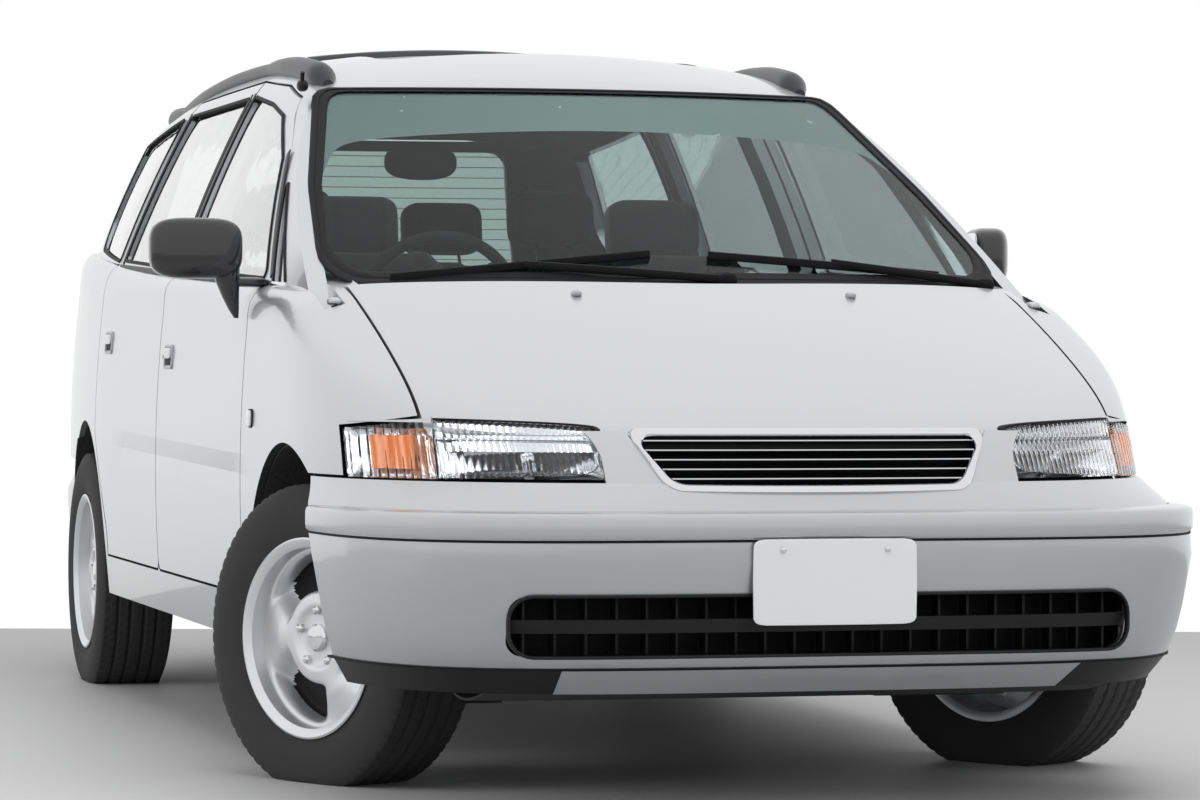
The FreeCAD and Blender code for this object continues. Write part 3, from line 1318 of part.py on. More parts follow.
os.makedirs("parts", exist_ok=True)
for piece in pieces:
    states = set(piece.State) & {"Invalid", "Error"}
    if states or piece.Shape.isNull() or not piece.Shape.isValid():
        raise ValueError(f"{piece.Label} did not build")
for piece in pieces:
    piece.Shape.exportStep(f"parts/{piece.Label}.step")
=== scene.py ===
import logging
import math
from dataclasses import dataclass
from enum import Enum
from typing import Callable, Sequence

import bpy
import numpy as np
from mathutils import Matrix


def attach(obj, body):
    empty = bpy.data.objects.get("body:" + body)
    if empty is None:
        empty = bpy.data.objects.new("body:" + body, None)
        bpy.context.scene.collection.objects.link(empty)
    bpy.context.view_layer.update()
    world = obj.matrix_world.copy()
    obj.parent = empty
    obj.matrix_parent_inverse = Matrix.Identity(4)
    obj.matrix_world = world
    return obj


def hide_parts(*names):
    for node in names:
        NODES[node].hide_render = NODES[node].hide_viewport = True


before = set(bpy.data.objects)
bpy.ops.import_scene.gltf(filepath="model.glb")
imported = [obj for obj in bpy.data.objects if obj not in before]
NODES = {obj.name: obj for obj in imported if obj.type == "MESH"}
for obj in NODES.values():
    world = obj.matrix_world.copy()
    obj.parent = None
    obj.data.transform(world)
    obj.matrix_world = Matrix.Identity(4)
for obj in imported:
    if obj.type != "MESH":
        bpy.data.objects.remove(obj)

# The looks of a people carrier, in metres: +X is its left, -Y is forward, +Z is up.

log = logging.getLogger("people_carrier")
SIDES = ("left", "right")
BODY_LENGTH, FRONT_OVERHANG = 4.835, 1.0
AXLE_SHIFT = FRONT_OVERHANG - BODY_LENGTH / 2
WHEELBASE = 2.83
FRONT_ARCH, REAR_ARCH, ARCH_UP = -45.0, 2830.0, 300.0

# A mesh: its vertices and its faces.
Shape = tuple[np.ndarray, Sequence]


def to_row(points: np.ndarray) -> np.ndarray:
    """Move points given in millimetres from the front axle into the row's frame in metres.

    Args:
        points: an array whose last axis is across, back, up.

    Returns:
        The same points in metres.
    """
    moved = np.asarray(points, float) / 1000
    moved[..., 1] += AXLE_SHIFT
    return moved


class Form:
    """The body's main surfaces as formulas, in millimetres from the front axle."""

    PLAN_POWER = 2.8
    WIDEST, WIDEST_UP = 888, 620
    COWL, BELT_UP = 298, 1024

    @classmethod
    def plan(cls, share: np.ndarray) -> np.ndarray:
        """The plan's superellipse: what is left of one half-size at a share of the other."""
        return (1 - np.clip(share, 0, 1) ** cls.PLAN_POWER) ** (1 / cls.PLAN_POWER)

    @classmethod
    def taper(cls, y: np.ndarray) -> np.ndarray:
        """How far the plan narrows behind the middle: one less a square law."""
        behind = np.maximum(y - 2400, 0) / 1000
        return 1 - 58 / cls.WIDEST * behind * behind

    @classmethod
    def wall_half(cls, z: np.ndarray) -> np.ndarray:
        """Half-width of the bulged side at a height: a square law either way from the widest."""
        rise = (z - cls.WIDEST_UP) / 400
        return cls.WIDEST - 22 * rise * rise

    @staticmethod
    def nose_reach(z: np.ndarray) -> np.ndarray:
        """Reach of the nose ahead of the axle at a height: it leans back as it rises."""
        return 847 + 0.7 * (755 - np.maximum(z, 600))

    @classmethod
    def side_x(cls, y: np.ndarray, z: np.ndarray) -> np.ndarray:
        """Half-width of the lower body: a straight side that closes ahead as the plan does."""
        return cls.wall_half(z) * cls.taper(y) * cls.plan(-y / cls.nose_reach(z))

    @classmethod
    def nose_y(cls, x: np.ndarray, z: np.ndarray) -> np.ndarray:
        """How far forward the nose lies at a place across and up: the same superellipse."""
        return -cls.nose_reach(z) * cls.plan(np.abs(x) / cls.wall_half(z))

    @classmethod
    def belt(cls, y: np.ndarray) -> np.ndarray:
        """Height of the belt line, which rises gently to the rear."""
        return cls.BELT_UP + (y - cls.COWL) / 2625 * 100

    @classmethod
    def glass_x(cls, y: np.ndarray, z: np.ndarray) -> np.ndarray:
        """Half-width of the side glass: it leans in with height and tucks in ahead."""
        rise = (z - 1025) / 465
        lean = 0.743 * rise + 0.257 * rise * np.abs(rise)
        ahead = np.maximum(1400 - y, 0) / 1000
        return (852 - 188 * lean) * cls.taper(y) - 29 * ahead * ahead

    @staticmethod
    def screen_y(x: np.ndarray, z: np.ndarray) -> np.ndarray:
        """How far back the windscreen lies: a leaning plane swept back towards its sides."""
        return -96 + (z - 1039) * 946 / 482 + 190 * (x / 736) ** 2

    @staticmethod
    def roof_z(x: np.ndarray, y: np.ndarray) -> np.ndarray:
        """Height of the roof: a crowned arc that drops to the screen and to the tail."""
        along = np.maximum(2050 - y, 0) / 1200
        behind = np.maximum(y - 2050, 0) / 1500
        drop = 134 * (np.minimum(along, 1) ** 3.3 + 3.3 * np.maximum(along - 1, 0))
        return 1655 - 58 * (np.abs(x) / 620) ** 2 - drop - 85 * behind ** 1.6

    @classmethod
    def hood_z(cls, x: np.ndarray, y: np.ndarray) -> np.ndarray:
        """Height of the hood: a parabola through three centre heights with a crown across."""
        y = np.minimum(y, cls.COWL)
        back, middle, front = -150.0, -633.0, -855.0
        centre = (1040 * (y - middle) * (y - front) / ((back - middle) * (back - front))
                  + 855 * (y - back) * (y - front) / ((middle - back) * (middle - front))
                  + 752 * (y - back) * (y - middle) / ((front - back) * (front - middle)))
        crown = 86 + (y - middle) / 687 * (64 - 86)
        return centre - crown * (np.abs(x) / 728) ** 2.4

    @classmethod
    def lip_y(cls, x: np.ndarray) -> np.ndarray:
        """How far forward the hood's front edge lies: the plan's superellipse once more."""
        return -852 * cls.plan(np.abs(x) / 885)


# Shader writing.


class Value:
    """A number on a node's socket, with arithmetic that adds Math nodes."""

    def __init__(self, shader: "Shader", socket: bpy.types.NodeSocket) -> None:
        """Wrap a socket of the shader."""
        self.shader, self.socket = shader, socket

    def _math(self, operation: str, *others: "Value | float", swap: bool = False,
              clamp: bool = False) -> "Value":
        """One Math node on this value and others, in swapped order or held from 0 to 1 if asked."""
        terms = [self, *others][::-1 if swap else 1]
        node = self.shader.node("ShaderNodeMath", {"operation": operation, "use_clamp": clamp},
                                dict(enumerate(terms)))
        return Value(self.shader, node.outputs[0])

    def __add__(self, other: "Value | float") -> "Value":
        """The sum."""
        return self._math("ADD", other)

    def __mul__(self, other: "Value | float") -> "Value":
        """The product."""
        return self._math("MULTIPLY", other)

    def __sub__(self, other: "Value | float") -> "Value":
        """The difference."""
        return self._math("SUBTRACT", other)

    def __rsub__(self, other: float) -> "Value":
        """The difference the other way round."""
        return self._math("SUBTRACT", other, swap=True)

    __radd__, __rmul__ = __add__, __mul__

    def wave(self, length: float) -> "Value":
        """A sine of this value with that wavelength, from 0 to 1."""
        return (self * (2 * math.pi / length))._math("SINE") * 0.5 + 0.5

    def above(self, edge: float) -> "Value":
        """1 where the value is above the edge, else 0."""
        return self._math("GREATER_THAN", edge)

    def limited(self) -> "Value":
        """This value held between 0 and 1."""
        return self._math("ADD", 0.0, clamp=True)

    def size(self) -> "Value":
        """The absolute value."""
        return self._math("ABSOLUTE")


class Nodes:
    """A node tree that nodes are added to."""

    def __init__(self, tree: bpy.types.NodeTree) -> None:
        """Take a tree and empty it."""
        self.tree = tree
        self.tree.nodes.clear()

    def node(self, kind: str, settings: dict[str, object] | None = None,
             inputs: dict[object, object] | None = None) -> bpy.types.Node:
        """Add any node.

        Args:
            kind: the node's type.
            settings: properties that are set first.
            inputs: values, sockets or Values for its inputs, by name or number.

        Returns:
            The new node.
        """
        node = self.tree.nodes.new(kind)
        for key, value in (settings or {}).items():
            setattr(node, key, value)
        for key, value in (inputs or {}).items():
            self.feed(node.inputs[key], value)
        return node

    def feed(self, target: bpy.types.NodeSocket, value: object) -> None:
        """Link or set one input socket."""
        value = value.socket if isinstance(value, Value) else value
        if isinstance(value, bpy.types.NodeSocket):
            self.tree.links.new(value, target)
        elif isinstance(value, tuple) and len(value) == 3 and target.type == "RGBA":
            target.default_value = (*value, 1)
        else:
            target.default_value = value


class Shader(Nodes):
    """A material's node tree with one Principled surface."""

    def __init__(self, name: str) -> None:
        """Start a material with an empty Principled surface."""
        self.material = bpy.data.materials.new(name)
        self.material.use_nodes = True
        super().__init__(self.material.node_tree)
        self.surface = self.node("ShaderNodeBsdfPrincipled")
        self.node("ShaderNodeOutputMaterial", inputs={"Surface": self.surface.outputs[0]})

    def set(self, **values: object) -> None:
        """Set sockets of the surface; an underscore in a name stands for a space."""
        for name, value in values.items():
            self.feed(self.surface.inputs[name.replace("_", " ")], value)

    def place(self) -> tuple[Value, Value, Value]:
        """The object coordinates as three numbers."""
        coordinates = self.node("ShaderNodeTexCoord")
        parts = self.node("ShaderNodeSeparateXYZ", inputs={0: coordinates.outputs["Object"]})
        return tuple(Value(self, socket) for socket in parts.outputs)

    def noise(self, scale: float, detail: float = 2.0) -> Value:
        """Soft noise over the object's coordinates."""
        coordinates = self.node("ShaderNodeTexCoord")
        return Value(self, self.node("ShaderNodeTexNoise", inputs={
            "Vector": coordinates.outputs["Object"], "Scale": scale, "Detail": detail}).outputs[0])

    def mix(self, factor: Value | float, first: object, second: object) -> bpy.types.NodeSocket:
        """A colour mixed between two."""
        return self.node("ShaderNodeMix", {"data_type": "RGBA"},
                         {0: factor, 6: first, 7: second}).outputs[2]

    def bump(self, height: Value, depth: float, strength: float = 1.0) -> None:
        """Raise the surface by a height of that depth in metres."""
        self.set(Normal=self.node("ShaderNodeBump", inputs={
            "Strength": strength, "Distance": depth, "Height": height}).outputs[0])


@dataclass(frozen=True)
class Finish:
    """A plain finish: its colour, gloss and grain, and the record's slot it belongs to."""

    name: str
    slot: str
    color: tuple[float, float, float]
    roughness: float
    metallic: float = 0.0
    coat: float = 0.0
    transmission: float = 0.0
    ior: float = 1.45
    alpha: float = 1.0
    grain_scale: float = 0.0
    grain_depth: float = 0.0
    mottle: float = 0.0
    mottle_scale: float = 6.0
    painted_glow: float = 0.0

    def shader(self) -> Shader:
        """The node tree of this finish, before anything of its own is added."""
        shader = Shader(self.name)
        shader.set(Base_Color=self.color, Roughness=self.roughness, Metallic=self.metallic,
                   Coat_Weight=self.coat, Coat_Roughness=0.04, Alpha=self.alpha, IOR=self.ior,
                   Transmission_Weight=self.transmission)
        if self.mottle:
            dark = tuple(part * (1 - self.mottle) for part in self.color)
            shader.set(Base_Color=shader.mix(shader.noise(self.mottle_scale, 4), dark, self.color))
        if self.grain_depth:
            shader.bump(shader.noise(self.grain_scale, 3), self.grain_depth)
        # A faint painted glow in the finish's own colour, light that no lamp gives.
        if self.painted_glow:
            shader.set(Emission_Color=self.color, Emission_Strength=self.painted_glow)
        return shader

    def material(self) -> bpy.types.Material:
        """The material, made once and then reused."""
        return bpy.data.materials.get(self.name) or self.shader().material


@dataclass(frozen=True)
class Fluted(Finish):
    """A clear lens with upright flutes pressed into it."""

    pitch: float = 0.012

    def shader(self) -> Shader:
        """Flutes are a sine across the lens, as a bump."""
        shader = super().shader()
        across, _, up = shader.place()
        height = across.wave(self.pitch) + up.wave(self.pitch * 3) * 0.4
        shader.bump(height, depth=0.004, strength=0.7)
        return shader


@dataclass(frozen=True)
class Woven(Finish):
    """A woven seat cloth with fine ribs and a soft sheen."""

    pitch: float = 0.004

    def shader(self) -> Shader:
        """Ribs are crossed sines as a bump; the colour varies with soft noise."""
        shader = super().shader()
        across, along, up = shader.place()
        height = across.wave(self.pitch) * (up + along).wave(self.pitch)
        shader.bump(height, depth=0.0012, strength=0.6)
        shader.set(Sheen_Weight=0.35)
        return shader


@dataclass(frozen=True)
class Heated(Finish):
    """Rear glass with fine heater lines across it."""

    pitch: float = 0.030

    def shader(self) -> Shader:
        """A line is where a sine of the height is near its top."""
        shader = super().shader()
        _, _, up = shader.place()
        line = up.wave(self.pitch).above(0.985)
        shader.set(Base_Color=shader.mix(line, self.color, (0.16, 0.10, 0.06)),
                   Alpha=line * 0.4 + self.alpha)
        return shader


@dataclass(frozen=True)
class Flake(Finish):
    """Metallic paint: fine flakes, painted shade that darkens it toward the ground, and a groove along the
    doors' crease.
    """

    low: float = 0.20
    high: float = 0.75
    shade: float = 0.72
    crease_up: float = 0.628
    crease_slope: float = 0.0136
    crease_half: float = 0.042
    crease_depth: float = 0.015
    crease_end: float = 0.98
    crease_start: float = 1.0365
    crease_middle: float = 0.12
    fading: float = 5.0
    side_at: float = 0.80
    flake_scale: float = 2200
    flake_spread: float = 0.12

    def shader(self) -> Shader:
        """The colour darkens toward the ground as painted shade, flakes are tiny noise in the roughness, the
        crease is a bump.

        The crease is a groove along a slightly rising line, deepest in its middle, on the sides
        only, and fades out toward both wheel arches.
        """
        shader = super().shader()
        across, along, up = shader.place()
        # Painted shade: below the high height the colour darkens by the shade factor, fully at the low one.
        share = shader.node("ShaderNodeMapRange", inputs={
            "Value": up, "From Min": self.low, "From Max": self.high})
        dark = tuple(part * self.shade for part in self.color)
        line = (along + self.crease_start) * self.crease_slope + self.crease_up
        groove = (1 - (up - line).size() * (1 / self.crease_half)).limited()
        fade = ((self.crease_end - (along + self.crease_middle).size()) * self.fading).limited()
        shader.bump(1 - groove * fade * across.size().above(self.side_at), self.crease_depth)
        flakes = shader.noise(self.flake_scale, 1) * self.flake_spread
        shader.set(Base_Color=shader.mix(Value(shader, share.outputs[0]), dark, self.color),
                   Roughness=flakes + (self.roughness - self.flake_spread / 2))
        return shader


class Finishes(Enum):
    """Every finish on the vehicle."""

    PAINT = Flake("silver_paint", "paint", (0.56, 0.575, 0.59), 0.32, 0.72, 0.6)
    # A darker silver; on the bumper's lowest band it is partly painted shade.
    PAINT_SATIN = Finish("silver_paint_satin", "paint", (0.42, 0.43, 0.45), 0.42, 0.6, 0.3)
    UNDER = Finish("underbody_black", "underbody", (0.035, 0.036, 0.038), 0.7, grain_scale=90,
                   grain_depth=0.002, mottle=0.4)
    CHROME = Finish("chrome_bright", "chrome_trim", (0.72, 0.73, 0.74), 0.10, 1.0)
    LENS = Fluted("lens_fluted", "lens_clear", (0.96, 0.98, 1.0), 0.02, transmission=1.0, ior=1.35)
    REFLECTOR = Finish("lamp_reflector", "lens_clear", (0.80, 0.82, 0.84), 0.16, 1.0)
    # The amber block's faint glow is painted light: no lamp shines in it.
    AMBER = Finish("lamp_amber", "lens_clear", (0.90, 0.26, 0.05), 0.3, coat=0.4, painted_glow=0.05)
    RED = Finish("lamp_red", "lens_red", (0.45, 0.012, 0.010), 0.12, coat=1.0)
    GLASS = Finish("glass_green_tint", "glass_green", (0.42, 0.52, 0.50), 0.0, transmission=1.0, ior=1.15)
    SIDE_GLASS = Finish("glass_side", "glass_green", (0.88, 0.92, 0.92), 0.0, coat=1.0, transmission=1.0,
                        ior=1.9)
    HEATED = Heated("glass_heated", "glass_green", (0.55, 0.64, 0.61), 0.0, transmission=1.0, ior=1.2)
    ROOF_GLASS = Finish("glass_roof_dark", "glass_green", (0.015, 0.017, 0.02), 0.05, coat=1.0)
    RUBBER = Finish("rubber_black", "black_trim", (0.008, 0.008, 0.009), 0.6, ior=1.25, grain_scale=400,
                    grain_depth=0.0004)
    TRIM = Finish("trim_black", "black_trim", (0.012, 0.012, 0.013), 0.42, ior=1.32, grain_scale=700,
                  grain_depth=0.0003)
    SHELL_BLACK = Finish("mirror_black", "black_trim", (0.014, 0.014, 0.016), 0.30, coat=0.7)
    RAIL = Finish("rail_grey", "black_trim", (0.022, 0.023, 0.027), 0.34, ior=1.4)
    # Grey-green plastic, darkened further as painted shade of the dim cabin.
    CABIN = Finish("cabin_grey_green", "cabin_plastic", (0.035, 0.043, 0.042), 0.62, ior=1.3,
                   grain_scale=500, grain_depth=0.0004)
    # A pale headliner coloured dark, as painted shade of the dim cabin; the shell's faces toward the cabin
    # wear it too.
    LINER = Finish("headliner_painted_shade", "cabin_plastic", (0.055, 0.062, 0.060), 0.9, ior=1.3, grain_scale=900,
                   grain_depth=0.0004)
    CLOTH = Woven("seat_cloth", "cabin_fabric", (0.026, 0.035, 0.034), 0.9, ior=1.3, mottle=0.35,
                  mottle_scale=60)
    CAST = Finish("cast_rough", "cast_metal", (0.17, 0.17, 0.175), 0.6, 0.7, grain_scale=160,
                  grain_depth=0.002, mottle=0.3)
    TYRE = Finish("tyre_rubber", "tyre_rubber", (0.006, 0.006, 0.007), 0.55, ior=1.3, grain_scale=300,
                  grain_depth=0.0004, mottle=0.25, mottle_scale=25)
    ALLOY = Finish("wheel_alloy", "wheel_alloy", (0.50, 0.505, 0.51), 0.32, 0.85, 0.3)
    ALLOY_DARK = Finish("wheel_shadow", "wheel_alloy", (0.012, 0.012, 0.013), 0.6, ior=1.3)
    MIRROR = Finish("mirror_glass", "black_trim", (0.75, 0.78, 0.80), 0.03, 1.0)
    PLATE = Finish("plate_white", "black_trim", (0.88, 0.89, 0.90), 0.4, ior=1.4)
    REPEATER = Finish("repeater_clear", "lens_clear", (0.62, 0.64, 0.66), 0.15, coat=0.8)

    @property
    def material(self) -> bpy.types.Material:
        """The Blender material of this finish."""
        return self.value.material()


# Mesh making.


def unit(vectors: np.ndarray) -> np.ndarray:
    """The same vectors with a length of one."""
    return vectors / np.linalg.norm(vectors, axis=-1, keepdims=True)


def full_turn(count: int) -> np.ndarray:
    """Even angles round a full turn."""
    return np.linspace(0, 2 * math.pi, count, endpoint=False)


def turned(points: np.ndarray, angle: float) -> np.ndarray:
    """Points turned about the upright axis: across and along by a cosine and a sine."""
    cosine, sine = math.cos(angle), math.sin(angle)
    across, along, up = points.T
    return np.stack([cosine * across - sine * along, sine * across + cosine * along, up], axis=1)


def lattice(first: tuple[float, float, int], second: tuple[float, float, int]) -> list[np.ndarray]:
    """Two grids of even values from (start, end, count) each; the first changes down the rows."""
    return np.meshgrid(np.linspace(*first), np.linspace(*second), indexing="ij")


def add_object(name: str, data: bpy.types.ID) -> bpy.types.Object:
    """A new object of the scene with that data."""
    made = bpy.data.objects.new(name, data)
    bpy.context.scene.collection.objects.link(made)
    return made


def add_piece(name: str, vertices: np.ndarray, faces: np.ndarray | list, finish: "Finishes",
              body: str, replaces: Sequence[str] = (), sharp: float = 35.0) -> bpy.types.Object:
    """Make one piece from arrays, dress it and let it ride a body.

    Args:
        name: the piece's name.
        vertices: places in metres, n by 3.
        faces: corner numbers, one row or tuple a face.
        finish: what it is dressed in.
        body: the CAD body it moves with.
        replaces: CAD nodes it stands for.
        sharp: an edge steeper than this many degrees stays crisp.

    Returns:
        The new object.
    """
    mesh = bpy.data.meshes.new(name)
    faces = faces.tolist() if isinstance(faces, np.ndarray) else faces
    mesh.from_pydata(np.asarray(vertices, float).reshape(-1, 3).tolist(), [], faces)
    mesh.materials.append(finish.material)
    mesh.polygons.foreach_set("use_smooth", np.ones(len(mesh.polygons), bool))
    mesh.set_sharp_from_angle(angle=math.radians(sharp))
    mesh.update()
    piece = add_object(name, mesh)
    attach(piece, body)
    if replaces:
        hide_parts(*replaces)
    log.info("%s: %d faces", name, len(mesh.polygons))
    return piece


def grid_faces(rows: int, columns: int, close_rows: bool = False,
               close_columns: bool = False) -> np.ndarray:
    """Quads of a grid of points, wrapped round where a direction is closed."""
    last_row = rows if close_rows else rows - 1
    last_column = columns if close_columns else columns - 1
    row, column = np.meshgrid(np.arange(last_row), np.arange(last_column), indexing="ij")
    below, right = (row + 1) % rows, (column + 1) % columns
    corners = (row * columns + column, row * columns + right,
               below * columns + right, below * columns + column)
    return np.stack([corner.ravel() for corner in corners], axis=1)


def outward(vertices: np.ndarray, faces: Sequence[Sequence[int]]) -> list[list[int]]:
    """The faces of a closed mesh, turned round if its signed volume is below zero."""
    volume = 0.0
    points = np.asarray(vertices, float).reshape(-1, 3)
    faces = [list(face) for face in faces]
    for count in {len(face) for face in faces}:
        corners = points[np.array([face for face in faces if len(face) == count])]
        for index in range(1, count - 1):
            volume += np.sum(corners[:, 0] * np.cross(corners[:, index], corners[:, index + 1]))
    return faces if volume >= 0 else [face[::-1] for face in faces]


def join(parts: Sequence[Shape]) -> Shape:
    """Join several closed meshes, each turned outward, into one pair of vertices and faces."""
    vertices, faces, start = [], [], 0
    for points, corners in parts:
        points = np.asarray(points, float).reshape(-1, 3)
        vertices.append(points)
        faces += [[index + start for index in face] for face in outward(points, corners)]
        start += len(points)
    return np.concatenate(vertices), faces


def tube_faces(rows: int, columns: int, ring: bool = False) -> list:
    """Faces of a tube closed round its columns: a ring of rows, or capped at both ends."""
    faces = grid_faces(rows, columns, ring, True).tolist()
    if not ring:
        faces.append(list(range(columns))[::-1])
        faces.append([(rows - 1) * columns + index for index in range(columns)])
    return faces


def tube(rows: np.ndarray, ring: bool = False) -> Shape:
    """A tube through a grid of points, closed round its columns."""
    return rows.reshape(-1, 3), tube_faces(*rows.shape[:2], ring)


def mirror(parts: Shape) -> Shape:
    """The same mesh on the other side of the middle plane; its faces are turned when it is added."""
    return np.asarray(parts[0], float).reshape(-1, 3) * (-1, 1, 1), parts[1]


def add_here(name: str, parts: Shape, finish: "Finishes", body: str = "body",
             replaces: Sequence[str] = (), sharp: float = 35.0) -> bpy.types.Object:
    """Add one closed piece given in millimetres from the front axle."""
    vertices, faces = parts
    return add_piece(name, to_row(vertices), outward(vertices, faces), finish, body, replaces, sharp)


def add_pair(name: str, parts: Shape, finish: "Finishes", body: str = "body") -> list[bpy.types.Object]:
    """Add a left piece and its mirror image.

    Args:
        name: the pair's name, without a side.
        parts: the left piece in millimetres from the front axle.
        finish: what both are dressed in.
        body: the body each rides, with {side} where it differs.

    Returns:
        Both objects.
    """
    return [add_here(f"{name}_{side}", shape, finish, body.format(side=side))
            for side, shape in zip(SIDES, (parts, mirror(parts)))]


def rounded(corners: Sequence[tuple[float, float, float]], spacing: float = 30.0) -> np.ndarray:
    """A closed outline through corners (a, b, radius), rounded and evenly divided.

    Args:
        corners: two places and a radius for each corner, in order.
        spacing: the longest step along the straight parts.

    Returns:
        Points, n by 2. An arc touches both legs at the radius over the tangent of half the angle.
    """
    spots = np.array([corner[:2] for corner in corners], float)
    line = []
    for index, (_, _, radius) in enumerate(corners):
        here = spots[index]
        back, ahead = unit(spots[index - 1] - here), unit(spots[(index + 1) % len(spots)] - here)
        half = math.acos(float(np.clip(back @ ahead, -1, 1))) / 2
        if radius <= 0:
            line.append(here)
            continue
        start, end = here + back * radius / math.tan(half), here + ahead * radius / math.tan(half)
        inward = unit(back + ahead)
        centre = here + inward * radius / math.sin(half)
        first, last = start - centre, end - centre
        turn = math.atan2(*first[::-1]), math.atan2(*last[::-1])
        sweep_angle = (turn[1] - turn[0] + math.pi) % (2 * math.pi) - math.pi
        for angle in np.linspace(turn[0], turn[0] + sweep_angle, 7):
            line.append(centre + radius * np.array([math.cos(angle), math.sin(angle)]))
    points = []
    for index, here in enumerate(line):
        following = line[(index + 1) % len(line)]
        count = max(int(np.linalg.norm(following - here) / spacing), 1)
        points += [here + (following - here) * step / count for step in range(count)]
    return np.array(points)


def rounded_box(centre: tuple[float, float], halves: tuple[float, float], radius: float,
                spacing: float) -> np.ndarray:
    """The outline of a box about a centre, with rounded corners, evenly divided."""
    (first, second), (wide, tall) = centre, halves
    return rounded([(first + side * wide, second + rise * tall, radius)
                    for side, rise in ((-1, -1), (-1, 1), (1, 1), (1, -1))], spacing)


def resampled(outline: np.ndarray, count: int) -> np.ndarray:
    """A closed outline with that many points, evenly spaced along its length."""
    ring = np.concatenate([outline, outline[:1]])
    run = np.concatenate([[0], np.cumsum(np.linalg.norm(np.diff(ring, axis=0), axis=1))])
    at = np.linspace(0, run[-1], count, endpoint=False)
    return np.stack([np.interp(at, run, ring[:, axis]) for axis in (0, 1)], axis=1)


def lying_on(surface: Callable, path: np.ndarray, lift: float = 0.0) -> tuple[np.ndarray, np.ndarray]:
    """Points and outward normals on a side surface.

    Args:
        surface: half-width as a function of back and up.
        path: places (back, up), n by 2.
        lift: how far the points stand off the surface.

    Returns:
        The points and the unit normals; the normal is (1, -dx/dy, -dx/dz) made unit.
    """
    back, up = path.T
    step = 4
    slope_y = (surface(back + step, up) - surface(back - step, up)) / (2 * step)
    slope_z = (surface(back, up + step) - surface(back, up - step)) / (2 * step)
    normals = unit(np.stack([np.ones_like(slope_y), -slope_y, -slope_z], axis=1))
    return np.stack([surface(back, up), back, up], axis=1) + normals * lift, normals


def side_strip(path: np.ndarray, width: float, height: float, lift: float = 0.0,
               closed: bool = True, surface: Callable = Form.glass_x) -> Shape:
    """A flat strip with a domed top along a path on the side.

    Args:
        path: places (back, up).
        width: across the strip.
        height: how far it stands out.
        lift: where its foot lies above the surface.
        closed: whether the path is a ring.
        surface: the side surface.

    Returns:
        Vertices and faces.
    """
    points, normals = lying_on(surface, path, lift)
    half = width / 2
    profile = [(0, -half), (height * 0.7, -half), (height, -half * 0.6), (height, half * 0.6),
               (height * 0.7, half), (0, half)]
    return sweep(points, np.array(profile), normals, closed)


def on_nose(across: np.ndarray, up: np.ndarray, back: float = 0.0) -> np.ndarray:
    """Points on the nose at places across and up, set back by a depth."""
    return np.stack([across, Form.nose_y(across, up) + back, up], axis=-1)


def front_grid(low_x: float, high_x: float, low_z: float, high_z: float, count_x: int,
               count_z: int, back: float) -> np.ndarray:
    """A grid of points on the nose between two places across and two up, set back by a depth."""
    return on_nose(*lattice((low_x, high_x, count_x), (low_z, high_z, count_z)), back)


def edging(outline: Callable, surface: Callable, section: Sequence[tuple[float, float]],
           count: int) -> Shape:
    """A closed strip round a rim.

    Args:
        outline: the rim (across, up) grown by a distance.
        surface: how far back the surface lies at a place across and up.
        section: the strip's corners, as (grow, lift).
        count: how many points round the rim.

    Returns:
        Vertices and quads: for each corner of the section, a ring on the surface plus its lift.
    """
    rings = [resampled(outline(grow), count) for grow, _ in section]
    grid = np.stack([np.stack([ring[:, 0], surface(*ring.T) + lift, ring[:, 1]], axis=1)
                     for ring, (_, lift) in zip(rings, section)], axis=1)
    return tube(grid, True)


def slab(rows: np.ndarray, thick: Sequence[float]) -> Shape:
    """A closed plate: a grid of points, a copy moved by a vector, and a rim between.

    Args:
        rows: points, u by v by 3.
        thick: the vector from the front to the back face.

    Returns:
        Vertices and quads.
    """
    count_u, count_v = rows.shape[:2]
    back = rows + thick
    front_faces = grid_faces(count_u, count_v)
    back_faces = front_faces[:, ::-1] + count_u * count_v
    index = np.arange(count_u * count_v).reshape(count_u, count_v)
    ring = np.concatenate([index[0, :-1], index[:-1, -1], index[-1, :0:-1], index[:0:-1, 0]])
    following = np.roll(ring, -1)
    rim = np.stack([following, ring, ring + count_u * count_v, following + count_u * count_v], axis=1)
    return np.concatenate([rows.reshape(-1, 3), back.reshape(-1, 3)]), np.concatenate(
        [front_faces, back_faces, rim])


def sweep(path: np.ndarray, profile: np.ndarray, side: np.ndarray, closed: bool = False) -> Shape:
    """Carry a profile along a path.

    Args:
        path: points along the way, n by 3.
        profile: the section's corners, m by 2, along the side and the remaining direction.
        side: a direction for the profile's first axis, one vector or one for each point.
        closed: whether the path is a ring; the ends of an open path are capped.

    Returns:
        Vertices and faces: each path point plus the profile on its two axes.
    """
    path, profile = np.asarray(path, float), np.asarray(profile, float)
    ahead = unit(np.roll(path, -1, axis=0) - np.roll(path, 1, axis=0) if closed
                 else np.gradient(path, axis=0))
    first = np.broadcast_to(np.asarray(side, float), path.shape)
    first = unit(first - ahead * np.sum(first * ahead, axis=1, keepdims=True))
    second = np.cross(ahead, first)
    points = (path[:, None] + first[:, None] * profile[None, :, :1]
              + second[:, None] * profile[None, :, 1:])
    return tube(points, closed)


def round_profile(half_a: float, half_b: float, count: int = 12, power: float = 2.0) -> np.ndarray:
    """A rounded section: a superellipse with two half-sizes."""
    turn = full_turn(count)
    return np.stack([half_a * squared_off(np.cos(turn), power),
                     half_b * squared_off(np.sin(turn), power)], axis=1)


def squared_off(value: np.ndarray, power: float) -> np.ndarray:
    """The signed root that squares a round shape: 2 leaves it round, higher is squarer."""
    return np.sign(value) * np.abs(value) ** (2 / power)


